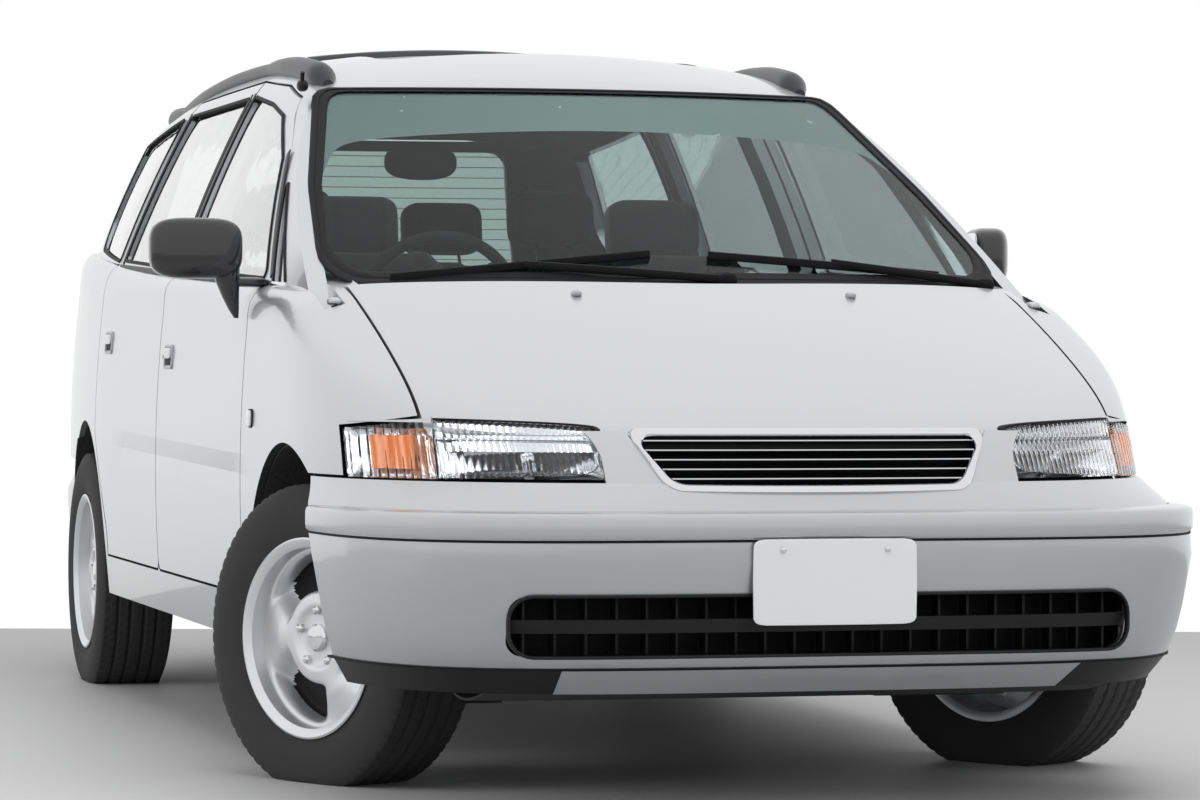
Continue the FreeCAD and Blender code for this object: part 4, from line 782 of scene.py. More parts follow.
def soft_box(centre: Sequence[float], halves: Sequence[float], power: float = 4.0,
             rows: int = 13, columns: int = 24) -> Shape:
    """A rounded block: a superellipsoid about a centre, as a closed grid with poles.

    Args:
        centre: its middle.
        halves: its three half-sizes.
        power: 2 is an egg, higher is squarer.
        rows: rings from foot to top.
        columns: points round each ring.

    Returns:
        Vertices and quads; the poles are tiny rings.
    """
    rise = np.linspace(-math.pi / 2 + 1e-3, math.pi / 2 - 1e-3, rows)[:, None]
    turn = full_turn(columns)[None, :]
    level = squared_off(np.cos(rise), power)
    points = np.stack([level * squared_off(np.cos(turn), power),
                       level * squared_off(np.sin(turn), power),
                       squared_off(np.sin(rise), power) * np.ones_like(turn)], axis=-1)
    points = points * np.asarray(halves) + np.asarray(centre)
    return points.reshape(-1, 3), grid_faces(rows, columns, False, True)


def soft_step(value: np.ndarray) -> np.ndarray:
    """A smooth step from 0 to 1: one over one plus the exponential of the value's negative."""
    return 1 / (1 + np.exp(-value))


def revolve(profile: np.ndarray, segments: int) -> Shape:
    """Turn a closed profile of (across, radius) about the X axis.

    Args:
        profile: the section's corners, in order.
        segments: steps round the axis.

    Returns:
        Vertices, one ring a step, and quads.
    """
    turn = full_turn(segments)[:, None]
    across, radius = profile[None, :, 0], profile[None, :, 1]
    points = np.stack([across + 0 * turn, radius * np.cos(turn), radius * np.sin(turn)], axis=-1)
    return points.reshape(-1, 3), grid_faces(segments, len(profile), True, True)


def facing_cabin(centres: np.ndarray, normals: np.ndarray) -> np.ndarray:
    """Which faces look toward the cabin's middle line: normal times the way out is below zero."""
    middle_up, tail, firewall, turned_in = 0.9, 1.9, -1.62, -0.25
    along = centres[:, 1]
    away = centres * (1, 0, 1) - (0, 0, middle_up)
    away[:, 1] = np.sign(along) * np.clip(np.abs(along) - tail, 0, 1) * 3
    facing = np.sum(normals * away, axis=1) / np.linalg.norm(away, axis=1)
    return (facing < turned_in) & (along > firewall)


def intake_and_painted_shade(centres: np.ndarray, normals: np.ndarray) -> np.ndarray:
    """1 for faces in its rounded intake or under its edge, and for its lowest band's ends as painted shade;
    2 for the band's middle, a lip whose darker paint is partly painted shade.
    """
    intake_up, straight_half, straight_rise, corner = 0.372, 0.582, 0.012, 0.0452
    front, band_top, tray_half, downward = -1.9, 0.2865, 0.52, -0.8
    aside, above = np.abs(centres[:, 0]), np.abs(centres[:, 2] - intake_up)
    beyond = np.hypot(np.maximum(aside - straight_half, 0), np.maximum(above - straight_rise, 0))
    black = (beyond < corner) & (centres[:, 1] < front) | (normals[:, 2] < downward)
    # Painted shade: below the lowest groove the band's ends go black and its middle takes a darker paint.
    lowest = (centres[:, 2] < band_top) & ~black
    middle = aside < tray_half
    return np.where(lowest & middle, 2, 0) + np.where(black | lowest & ~middle, 1, 0)


def in_arch(centres: np.ndarray, normals: np.ndarray) -> np.ndarray:
    """Which of the fender's faces look inward or line the wheel's arch."""
    arch_radius, turned_in, edge_on, level = 0.44, 0.2, 0.4, 0.2
    _, back, up = to_row(np.array([0.0, FRONT_ARCH, ARCH_UP]))
    near = np.hypot(centres[:, 1] - back, centres[:, 2] - up) < arch_radius
    inward = -normals[:, 0] * np.sign(centres[:, 0])
    lining = near & (np.abs(normals[:, 0]) < edge_on) & (normals[:, 2] < level)
    return (inward > turned_in) | lining


def read_rows(items: bpy.types.bpy_prop_collection, name: str, kind: type) -> np.ndarray:
    """A property of three numbers of every item in a collection, one row an item."""
    values = np.empty(len(items) * 3, kind)
    items.foreach_get(name, values)
    return values.reshape(-1, 3)


def merged_copy(node: str, finish: Finishes, body: str = "body", others: Sequence[Finishes] = (),
                where: Callable = facing_cabin) -> bpy.types.Object:
    """A welded, smooth-shaded copy of a CAD node's mesh, dressed and shown in its place.

    Args:
        node: the CAD node.
        finish: what it is dressed in.
        body: the body it moves with.
        others: more finishes, numbered from one.
        where: each face's finish from centres and normals.

    Returns:
        The copy.
    """
    mesh = NODES[node].data
    mesh.calc_loop_triangles()
    places = read_rows(mesh.vertices, "co", np.float32)
    corners = read_rows(mesh.loop_triangles, "vertices", np.int32)
    _, first, welded = np.unique(np.round(places, 5), axis=0, return_index=True, return_inverse=True)
    faces = welded.ravel()[corners]
    kept = (faces != np.roll(faces, 1, axis=1)).all(axis=1)
    piece = add_piece(f"{node}_dressed", places[first], faces[kept], finish, body, [node], sharp=28.0)
    if others:
        for other in others:
            piece.data.materials.append(other.material)
        polygons = piece.data.polygons
        chosen = where(*(read_rows(polygons, name, np.float32) for name in ("center", "normal")))
        polygons.foreach_set("material_index", chosen.astype(np.int32))
    piece.modifiers.new("even_shading", "WEIGHTED_NORMAL").keep_sharp = True
    return piece


# Sub-assemblies.


@dataclass
class BodyPanels:
    """The painted panels, the glass and the plain black parts, as welded copies of the solids."""

    under: tuple[str, ...] = ("floor_pan", "front_frame", "rear_axle", "fuel_tank")

    def build(self) -> None:
        """Dress every panel."""
        # The shell's faces toward the cabin take the headliner's dark colour, painted shade.
        merged_copy("body_shell", Finishes.PAINT, others=[Finishes.LINER])
        merged_copy("rear_bumper", Finishes.PAINT)
        # The lowest band's black ends and darker middle are painted shade under the bumper.
        merged_copy("front_bumper", Finishes.PAINT, others=[Finishes.TRIM, Finishes.PAINT_SATIN],
                    where=intake_and_painted_shade)
        for side in SIDES:
            merged_copy(f"fender_{side}", Finishes.PAINT, others=[Finishes.UNDER], where=in_arch)
        plain = dict.fromkeys(self.under, Finishes.UNDER) | {
            "cowl_panel": Finishes.TRIM, "engine_block": Finishes.CAST, "sunroof_glass": Finishes.ROOF_GLASS,
            "windscreen": Finishes.GLASS, "quarter_glass": Finishes.SIDE_GLASS, "tail_lamps": Finishes.RED}
        for node, finish in plain.items():
            merged_copy(node, finish)
        merged_copy("hood", Finishes.PAINT, "hood")
        merged_copy("tailgate", Finishes.PAINT, "tailgate", others=[Finishes.CABIN])
        merged_copy("tailgate_glass", Finishes.HEATED, "tailgate")
        for place in (f"{end}_{side}" for end in ("front", "rear") for side in SIDES):
            merged_copy(f"door_{place}", Finishes.PAINT, f"door_{place}", others=[Finishes.CABIN])
            merged_copy(f"door_glass_{place}", Finishes.SIDE_GLASS, f"door_{place}")
        for side in SIDES:
            merged_copy(f"knuckle_{side}", Finishes.CAST, f"knuckle_{side}")


@dataclass
class ScreenTrim:
    """The rubber round the windscreen, the wipers, the nozzles and the pads at the pillars' feet."""

    foot_half: float = 772
    middle_half: float = 716
    head_half: float = 618
    foot: float = 1042
    middle: float = 1264
    head: float = 1506
    nozzle_back: float = -205

    def ring(self, grow: float) -> np.ndarray:
        """The windscreen's outline (across, up) grown by a distance, half as much at its head."""
        top = self.head + grow * 0.45
        return rounded([
            (-self.foot_half - grow, self.foot - grow, 60), (-self.middle_half - grow, self.middle, 0),
            (-self.head_half - grow, top, 50), (self.head_half + grow, top, 50),
            (self.middle_half + grow, self.middle, 0), (self.foot_half + grow, self.foot - grow, 60)])

    def rubber(self) -> Shape:
        """A two-step strip that covers the screen's rim and the pillar's edge."""
        section = ((5, 14), (5, -3), (3, -8), (-4, -9), (-6, -5), (-9, -5), (-11, -8), (-20, -7),
                   (-23, -2), (-23, 5))
        return edging(self.ring, Form.screen_y, section, 160)

    @staticmethod
    def line(first: tuple[float, float], last: tuple[float, float], lift: np.ndarray) -> np.ndarray:
        """Twenty-five even points between two places (across, up), lifted off the screen."""
        across, up = np.linspace(first, last, 25).T
        return np.stack([across, Form.screen_y(across, up) - lift, up], 1)

    def wiper(self, pivot: tuple[float, float], hold: tuple[float, float], first: tuple[float, float],
              last: tuple[float, float]) -> Shape:
        """One parked wiper: a tapered arm, a blade holder with its rubber, and a pivot cap.

        Args:
            pivot: the pivot's place across and up.
            hold: where the arm meets the blade.
            first: the blade's one end.
            last: the blade's other end.

        Returns:
            Vertices and faces.
        """
        bow = np.sin(np.linspace(0, math.pi, 25))
        arm, blade = self.line(pivot, hold, 24 + 10 * bow), self.line(first, last, 17)
        cap = soft_box((pivot[0], float(Form.screen_y(*pivot)) - 24, pivot[1]), (22, 13, 15), 2.6)
        return join([sweep(arm, round_profile(9, 6, 10, 3), (0, 0, 1)),
                     sweep(blade, round_profile(9, 5, 8, 3), (0, 0, 1)),
                     sweep(blade + (0, 8, -5), round_profile(4, 7, 8, 2), (0, 0, 1)), cap])

    def nozzle(self, across: float) -> Shape:
        """A small domed washer nozzle on the hood."""
        place = (across, self.nozzle_back, float(Form.hood_z(across, self.nozzle_back)) + 3)
        return soft_box(place, (11, 14, 7), 2.5, 9, 16)

    def build(self) -> None:
        """Add the rubber, both wipers, the pads at the pillars' feet and both nozzles."""
        add_here("screen_rubber", self.rubber(), Finishes.RUBBER)
        for name, *places in (("driver", (60, 1050), (-360, 1080), (-638, 1052), (-79, 1106)),
                              ("passenger", (700, 1046), (330, 1090), (51, 1104), (590, 1066))):
            add_here(f"wiper_{name}", self.wiper(*places), Finishes.RUBBER)
        add_pair("pillar_foot", soft_box((777, -28, 999), (13, 24, 9), 3, 15, 32), Finishes.PAINT)
        for side, across in (("right", -300), ("left", 300)):
            add_here(f"washer_nozzle_{side}", self.nozzle(across), Finishes.PAINT_SATIN, "hood")


@dataclass
class Lamps:
    """Headlamps and corner lamps: clear fluted fronts before reflector bowls."""

    inner: float = 422
    outer: float = 704
    corner_outer: float = 838
    foot: float = 652
    top: float = 757
    main_middle: float = 545
    corner_middle: float = 770

    def bowl(self, low: float, high: float, foot: float, top: float, depth: float,
             centre: float, reach: float) -> Shape:
        """A reflector: it starts behind the lens at its border and sinks to a parabola's foot.

        Args:
            low: its inner edge across.
            high: its outer edge across.
            foot: its lower edge.
            top: its upper edge.
            depth: how deep the parabola sinks.
            centre: where its middle lies across.
            reach: the parabola's half-width.

        Returns:
            Vertices and quads of a thin plate.
        """
        grid = front_grid(low, high, foot, top, 41, 19, 9)
        across, up = grid[..., 0], grid[..., 2]
        out = ((across - centre) / reach) ** 2 + ((up - (foot + top) / 2) / (reach * 0.8)) ** 2
        side_border, level_border, shallowest = 12, 10, 0.18
        edge = np.minimum((across - low) / side_border, (high - across) / side_border)
        edge = np.clip(np.minimum(edge, np.minimum(up - foot, top - up) / level_border), 0, 1)
        grid[..., 1] += depth * np.sqrt(edge) * np.clip(1 - out * 0.6, shallowest, 1)
        return slab(grid, (0, 4, 0))

    def head(self, low: float, high: float, foot: float, near: float, far: float,
             back: float, thick: float, rise: float = 200.0) -> Shape:
        """A plate along a lens's head, whose top edge rises quickly and then levels out.

        Args:
            low: its inner edge across.
            high: its outer edge across.
            foot: its lower edge.
            near: the top's height at the inner edge.
            far: the top's height at the outer edge.
            back: how far it lies behind the nose.
            thick: how thick it is.
            rise: the most that it is tall.

        Returns:
            Vertices and quads.
        """
        share_x, share_z = lattice((0, 1, 41), (0, 1, 7))
        top = near + share_x ** 0.35 * (far - near)
        up = top - (1 - share_z) * np.minimum(top - foot, rise)
        return slab(on_nose(low + share_x * (high - low), up, back), (-thick * 0.7, thick, 0))

    def build(self) -> None:
        """Add the lenses, the reflectors, the bulbs and the amber blocks."""
        merged_copy("headlamps", Finishes.LENS)
        low, high, corner = self.inner - 4, self.outer, self.corner_outer
        middle = (self.foot + self.top) / 2 - 12
        nose = float(Form.nose_y(self.main_middle, middle))
        amber = front_grid(738, 802, self.foot + 12, self.top - 28, 17, 9, 12)
        amber[..., 1] += 3 * np.cos(amber[..., 0] * 2 * math.pi / 9)
        for name, shape, finish in (
                ("headlamp_head_lens", self.head(low, high, 725.5, 740, 760, 8, 4), Finishes.LENS),
                ("headlamp_head_bright", self.head(low, high, 699, 739, 759, 19, 3), Finishes.REFLECTOR),
                ("headlamp_head_seal", self.head(low, high + 2, 700, 744, 764, 7, 14, 4), Finishes.RUBBER),
                ("corner_head", self.head(high + 5, corner - 4, 755.5, 768, 757, 1.5, 4), Finishes.PAINT),
                ("headlamp_reflector", self.bowl(low + 1, high + 2, self.foot - 4, self.top - 34, 62,
                                                 self.main_middle, 118), Finishes.REFLECTOR),
                ("corner_reflector", self.bowl(high + 4, corner - 2, self.foot - 6, self.top - 14, 40,
                                               self.corner_middle, 70), Finishes.REFLECTOR),
                ("headlamp_bulb", soft_box((self.main_middle, nose + 44, middle), (13, 20, 13), 2.2, 11, 20),
                 Finishes.CHROME),
                ("corner_amber", slab(amber, (-4, 10, 0)), Finishes.AMBER)):
            add_pair(name, shape, finish)


@dataclass
class Grille:
    """The grille: a chrome rim, a dark core and five thin bright bars, with the panel beside it."""

    half: float = 366
    foot_half: float = 300
    top: float = 741
    foot: float = 632
    bars: int = 5
    sag: float = 4
    lip_drop: float = 7

    def ring(self, grow: float) -> np.ndarray:
        """The outline (across, up) with a bowed foot, grown by a distance."""
        wide, narrow = self.half + grow, self.foot_half + grow
        top, foot = self.top + grow, self.foot - grow
        outline = rounded([(-wide, top, 16), (wide, top, 16), (narrow, foot, 44), (-narrow, foot, 44)], 14)
        low = np.clip((self.foot + 40 - outline[:, 1]) / 40, 0, 1)
        outline[:, 1] -= self.sag * np.clip(low * (1 - (outline[:, 0] / 330) ** 2), 0, 1)
        return outline

    def rim(self) -> Shape:
        """The chrome rim: a domed strip round the mouth, on the nose."""
        section = ((6, 8), (6, -5), (3, -10), (-5, -10), (-9, -5), (-10, 12))
        return edging(self.ring, Form.nose_y, section, 180)

    def half_at(self, up: np.ndarray) -> np.ndarray:
        """The mouth's half-width at a height."""
        return self.foot_half + (self.half - self.foot_half) * (up - self.foot) / (self.top - self.foot)

    def row(self, inset: float, depth: float, drop: float, profile: np.ndarray, count: int) -> Shape:
        """Level bars across the mouth, one above the other.

        Args:
            inset: how far each ends before the mouth's side.
            depth: how far behind the nose they lie.
            drop: how far each lies below its even place.
            profile: their section.
            count: points along each.

        Returns:
            Vertices and faces of all the bars.
        """
        bars = []
        for up in np.linspace(self.foot, self.top, self.bars + 2)[1:-1]:
            reach = self.half_at(up) - inset
            path = on_nose(np.linspace(-reach, reach, count), np.full(count, up), depth) - (0, 0, drop)
            bars.append(sweep(path, profile, (0, 1, 0)))
        return join(bars)

    def backing(self, inset: float, foot: float, top: float, columns: int, depth: float) -> Shape:
        """A plate across the mouth that narrows with it, a depth behind the nose."""
        grid = front_grid(inset - self.half, self.half - inset, foot, top, columns, 9, depth)
        grid[..., 0] *= self.half_at(grid[..., 2]) / self.half
        return slab(grid, (0, 4, 0))

    def build(self) -> None:
        """Add the rim, the bars, the core and the panels beside the mouth."""
        add_here("grille_rim", self.rim(), Finishes.CHROME, replaces=["grille"], sharp=60)
        foot, top = self.foot + 2, self.top - 2
        for name, shape, finish in (
                ("bars", self.row(8, 7, 0, round_profile(6.5, 1.7, 10, 3), 41), Finishes.CHROME),
                ("frames", self.row(10, 18, 1, round_profile(11, 3, 8, 3), 31), Finishes.RUBBER),
                ("core", self.backing(4, foot, top, 31, 42), Finishes.RUBBER),
                ("head", self.backing(8, 700, top + 0.5, 41, 16), Finishes.RUBBER)):
            add_here(f"grille_{name}", shape, finish)
        add_pair("nose_panel", self.panel(), Finishes.PAINT)
        add_here("nose_strip", self.strip(), Finishes.PAINT)

    def panel(self) -> Shape:
        """The painted nose between the grille's side and the lamp's rounded end, up to the hood."""
        share_x, share_z = lattice((0, 1, 25), (0, 1, 25))
        edge, foot = 300 + 200 * share_x, self.foot + 2
        up = foot + share_z * (Form.hood_z(edge, Form.lip_y(edge)) - self.lip_drop - foot)
        rise = np.clip((up - self.foot) / (self.top - self.foot), 0, 1.3)
        low = self.foot_half + (self.half - self.foot_half) * rise + 4
        lamp_inner, wide, start, tall = 421, 76, 678, 80
        high = lamp_inner + wide * (1 - np.sqrt(1 - np.clip((up - start) / tall, 0, 0.999) ** 2))
        return slab(on_nose(low + share_x * (high - low), up, -2.5), (0, 6, 0))

    def strip(self) -> Shape:
        """The thin painted strip between the grille's head and the hood's edge."""
        across, share_z = lattice((-372, 372, 41), (0, 1, 4))
        foot = self.top + 3
        rise = np.maximum(Form.hood_z(across, Form.lip_y(across)) - self.lip_drop - foot, 1)
        return slab(on_nose(across, foot + share_z * rise), (0, 5, 0))


@dataclass
class BumperTrim:
    """What the front bumper carries: the raised band, the intake's bars, the plate and the shield."""

    half: float = 905
    reach: float = 1002
    roundness: float = 4.4
    intake_half: float = 628
    intake_top: float = 430
    intake_foot: float = 314
    plate_front: float = -1013
    plate_up: float = 455

    def curve(self, up: float, out: float = 0.0, edge: float = 1.16, count: int = 121) -> np.ndarray:
        """A plan curve of the bumper: a rounded rectangle, moved out and cut near the arches.

        Args:
            up: its height.
            out: how far it stands out.
            edge: the last angle to each side, in radians.
            count: how many points.

        Returns:
            Points, count by 3.
        """
        turn = np.linspace(-edge, edge, count)
        across = np.abs(np.sin(turn)) / (self.half + out)
        ahead = np.cos(turn) / (self.reach + out)
        far = (across ** self.roundness + ahead ** self.roundness) ** (-1 / self.roundness)
        return np.stack([far * np.sin(turn), -far * np.cos(turn), np.full(count, up)], axis=1)

    def band(self, up: float, profile: Sequence[tuple[float, float]], out: float = 0.0,
             edge: float = 1.16) -> Shape:
        """A band round the bumper from a profile in (outward, up), square to its plan curve."""
        path, section = self.curve(up, out, edge), np.array(profile, float)
        ahead = np.gradient(path, axis=0)
        normal = unit(np.stack([ahead[:, 1], -ahead[:, 0], np.zeros(len(path))], axis=1))
        points = path[:, None] + normal[:, None] * section[None, :, :1]
        points[..., 2] += section[None, :, 1]
        return tube(points)

    def front_at(self, across: np.ndarray, inset: float, root: float = 0.227) -> np.ndarray:
        """How far forward the plan lies, its reach less an inset; the root is near one by its power."""
        return -(self.reach - inset) * (1 - (np.abs(across) / self.half) ** self.roundness) ** root

    def build(self) -> None:
        """Add the band, its grooves, the intake, the plate and what hangs below."""
        face = [(-14, -8), (4, -7), (7, -3), (8, 4), (8, 30), (6, 37), (1, 41), (-18, 44), (-40, 46),
                (-40, 30)]
        add_here("bumper_band", self.band(545, face), Finishes.PAINT, sharp=40)
        groove = [(-10, -2.5), (2.5, -2.5), (2.5, 2.5), (-10, 2.5)]
        add_here("bumper_groove_low", self.band(534, groove, 1), Finishes.RUBBER)
        low = BumperTrim(half=880, reach=958, roundness=4.1)
        seam = [(-10, -2.2), (3.5, -2.2), (3.5, 2.2), (-10, 2.2)]
        add_here("bumper_groove_foot", low.band(288, seam, 0, 1.1), Finishes.RUBBER)
        self.intake()
        self.plate()
        self.underneath()

    def intake(self) -> None:
        """The intake's lip, level bar, upright ribs and dark core, and the shield below."""
        middle, half = (self.intake_foot + self.intake_top) / 2, (self.intake_top - self.intake_foot) / 2
        across, up = rounded_box((0, middle), (self.intake_half, half), 46, 30).T
        path = np.stack([across, self.front_at(across, 4, 1 / self.roundness) + 6, up], axis=1)
        add_here("intake_lip", sweep(path, round_profile(9, 3.5, 10, 3), (0, 1, 0), True), Finishes.TRIM)
        ribs = [soft_box((across, self.front_at(across, 60) + 20, middle), (3, 22, 62), 8, 7, 12)
                for across in np.linspace(-590, 590, 21)]
        across = np.linspace(-612, 612, 41)
        bar = np.stack([across, self.front_at(across, 40), np.full(41, middle - 4)], 1)
        ribs.append(sweep(bar, round_profile(14, 5, 10, 4), (0, 1, 0)))
        add_here("intake_ribs", join(ribs), Finishes.TRIM)
        across, up = lattice((-650, 650, 31), (290, 452, 5))
        core = np.stack([across, self.front_at(across, 110), up], -1)
        add_here("intake_core", slab(core, (0, 4, 0)), Finishes.RUBBER)
        across, along = lattice((-640, 640, 25), (0, 1, 9))
        shield = np.stack([across, self.front_at(across, 150) + along * 260,
                           236 - 26 * np.sin(along * 2.2)], -1)
        add_here("splash_shield", slab(shield, (0, 0, 5)), Finishes.UNDER)

    def underneath(self) -> None:
        """The sump, its tray's edge, the exhaust's down pipe and the tow eyes."""
        add_here("under_tray", soft_box((0, -770, 244), (480, 40, 12), 8, 9, 40), Finishes.PAINT_SATIN)
        sump = join([soft_box((-60, -420, 232), (300, 190, 26), 6, 11, 40),
                     soft_box((120, -640, 226), (330, 60, 14), 6, 9, 40)])
        add_here("sump", sump, Finishes.UNDER)
        share = np.linspace(0, 1, 30)
        pipe = np.stack([-330 + 120 * share, -560 + 700 * share, 236 + 10 * np.sin(share * 5)], 1)
        add_here("exhaust_pipe", sweep(pipe, round_profile(24, 24, 16), (1, 0, 0)), Finishes.CAST)
        turn = full_turn(24)
        eye = np.stack([26 * np.cos(turn), np.full(24, -690.0), 250 + 22 * np.sin(turn)], 1)
        eyes = [sweep(eye + (across, 0, 0), round_profile(7, 7, 8), (0, 1, 0), True)
                for across in (-560, 560)]
        add_here("tow_eyes", join(eyes), Finishes.CAST)

    def plate(self) -> None:
        """A blank white plate with two screws, on a dark backing."""
        front, up, half, tall = self.plate_front, self.plate_up, 165, 82.5
        add_here("front_plate", soft_box((0, front, up), (half, 2.5, tall), 14, 11, 48), Finishes.PLATE)
        backing = soft_box((0, front + 5.5, up), (half - 15, 4, tall - 12.5), 14, 11, 48)
        add_here("front_plate_back", backing, Finishes.TRIM)
        screws = [soft_box((across, front - 4, up + 62), (6, 3, 6), 2.4, 9, 16) for across in (-105, 105)]
        add_here("front_plate_screws", join(screws), Finishes.CHROME)


@dataclass
class SideTrim:
    """Window rubbers, black posts, belt strips, handles, repeaters, flaps and arch liners."""

    repeater: tuple[float, float] = (330, 750)

    def windows(self) -> dict[str, list[tuple[float, float, float]]]:
        """The outlines (back, up, radius) of the side windows."""
        belt = Form.belt
        return {
            "door_front": [(499, belt(446) + 26, 13), (789, 1335, 0), (1022, 1446, 76), (1238, 1486, 0),
                           (1539, 1520, 19), (1539, belt(1577) + 26, 13)],
            "door_rear": [(1615, belt(1577) + 26, 13), (1615, 1520, 19), (2434, 1520, 19),
                          (2508, belt(2592) + 26, 13)],
            "quarter_front": [(300, belt(300) + 6, 8), (698, 1329, 8), (418, belt(300) + 15, 8)],
            "quarter_rear": [(2619, belt(2600) + 26, 19), (2562, 1520, 19), (3226, 1474, 38),
                             (3340, belt(3340) + 52, 76)],
        }

    def build(self) -> None:
        """Add every strip, handle and liner."""
        front, rear = "door_front_{side}", "door_rear_{side}"
        for name, corners in self.windows().items():
            body = "body" if name.startswith("quarter") else name + "_{side}"
            add_pair(f"rubber_{name}", side_strip(rounded(corners), 9, 4, -1), Finishes.RUBBER, body)
        for name, foot, head, count, section, body in (
                ("post_front", (1560, 1075), (1556, 1528), 20, (16, 2.4, 0.2), front),
                ("post_rear", (1600, 1075), (1600, 1528), 20, (16, 2.4, 0.2), rear),
                ("post_back", (2540, 1130), (2470, 1528), 18, (26, 2.4, 0.2), rear),
                ("divider", (452, 1062), (748, 1346), 16, (20, 3, 0.4), front)):
            add_pair(name, side_strip(np.linspace(foot, head, count), *section, False), Finishes.TRIM, body)
        for name, first, last, finish, body in (
                ("belt_front", 470, 1560, Finishes.TRIM, front),
                ("belt_rear", 1600, 2560, Finishes.TRIM, rear),
                ("belt_quarter", 2620, 3330, Finishes.TRIM, "body"),
                ("belt_nose", 300, 428, Finishes.CHROME, "body")):
            back = np.linspace(first, last, 40)
            path = np.stack([back, Form.belt(back) + 12], 1)
            add_pair(name, side_strip(path, 14, 6, -1, False), finish, body)
        self.handles()
        self.flaps()
        self.liners()

    def handles(self) -> None:
        """Flap handles in dark recesses, with a key cylinder, and a round side repeater."""
        for end, back, up in (("front", 1440, 883), ("rear", 2400, 920)):
            name, body = f"handle_{end}", f"door_{end}_{{side}}"
            bezel = side_strip(rounded_box((back, up), (52, 26), 9, 20), 7, 5, -1, surface=Form.side_x)
            add_pair(f"{name}_rim", bezel, Finishes.PAINT_SATIN, body)
            wall = float(Form.side_x(back, up))
            cup = soft_box((wall - 1, back, up - 6), (4, 46, 15), 5, 9, 28)
            add_pair(f"{name}_cup", cup, Finishes.RUBBER, body)
            flap = soft_box((wall + 3, back - 3, up + 9), (5, 45, 13), 5, 11, 28)
            add_pair(f"{name}_flap", flap, Finishes.PAINT, body)
            if end == "front":
                points, faces = revolve(np.array([(0, 0.5), (0, 8), (5, 7.5), (6, 6), (6, 0.5)]), 20)
                add_pair("handle_key", (points + (wall, back + 66, up + 4), faces), Finishes.CHROME, body)
        back, up = self.repeater
        wall = float(Form.side_x(back, up))
        add_pair("side_repeater_foot", soft_box((wall, back, up), (4, 25, 21), 4, 9, 28), Finishes.RUBBER)
        add_pair("side_repeater", soft_box((wall + 3, back, up), (5, 22, 18), 4, 11, 28), Finishes.REPEATER)
        sill = side_strip(np.linspace((500, 318), (2380, 318), 40), 9, 4, -5, False, Form.side_x)
        add_pair("sill_shadow", sill, Finishes.RUBBER)

    def flaps(self) -> None:
        """Black strips that line the rear arches' back edge and hang down behind the wheels."""
        half, rise, lowest, flush, width = 397, 404, 320, 886, 110
        turn = np.radians(np.linspace(-14, 62, 31))
        back, up = REAR_ARCH + half * np.cos(turn), ARCH_UP + rise * np.sin(turn)
        outer = np.minimum(Form.side_x(back, np.maximum(up, lowest)), flush) + 3
        across = outer[:, None] - width * np.linspace(0, 1, 5)[None]
        grid = np.stack([across, back[:, None] + 0 * across, up[:, None] + 0 * across], -1)
        add_pair("mud_flap", slab(grid, (0, 6, 2)), Finishes.UNDER)

    def liners(self) -> None:
        """Black arch liners and thin lips round the wheel openings."""
        inner_wall, flush, recess, thin = 560, 885, 14, 0.992
        depth = np.linspace(0, 1, 7)[None]
        squeeze = 1 - 0.03 * depth
        for name, centre, half, rise in (("front", FRONT_ARCH, 427, 402), ("rear", REAR_ARCH, 399, 407)):
            turn = np.linspace(0.02 * math.pi, 0.98 * math.pi, 49)
            back, up = -half * np.cos(turn), rise * np.sin(turn)
            outer = np.minimum(Form.side_x(centre + back, ARCH_UP + up), flush)[:, None] - recess
            grid = np.stack([outer - (outer - inner_wall) * depth, centre + back[:, None] * squeeze,
                             ARCH_UP + up[:, None] * squeeze], -1)
            hub = np.array([0, centre, ARCH_UP])
            inner = hub + (grid - hub) * (1, thin, thin)
            both = np.concatenate([grid, inner[:, ::-1]], axis=1)
            add_pair(f"arch_liner_{name}", tube(both), Finishes.UNDER)


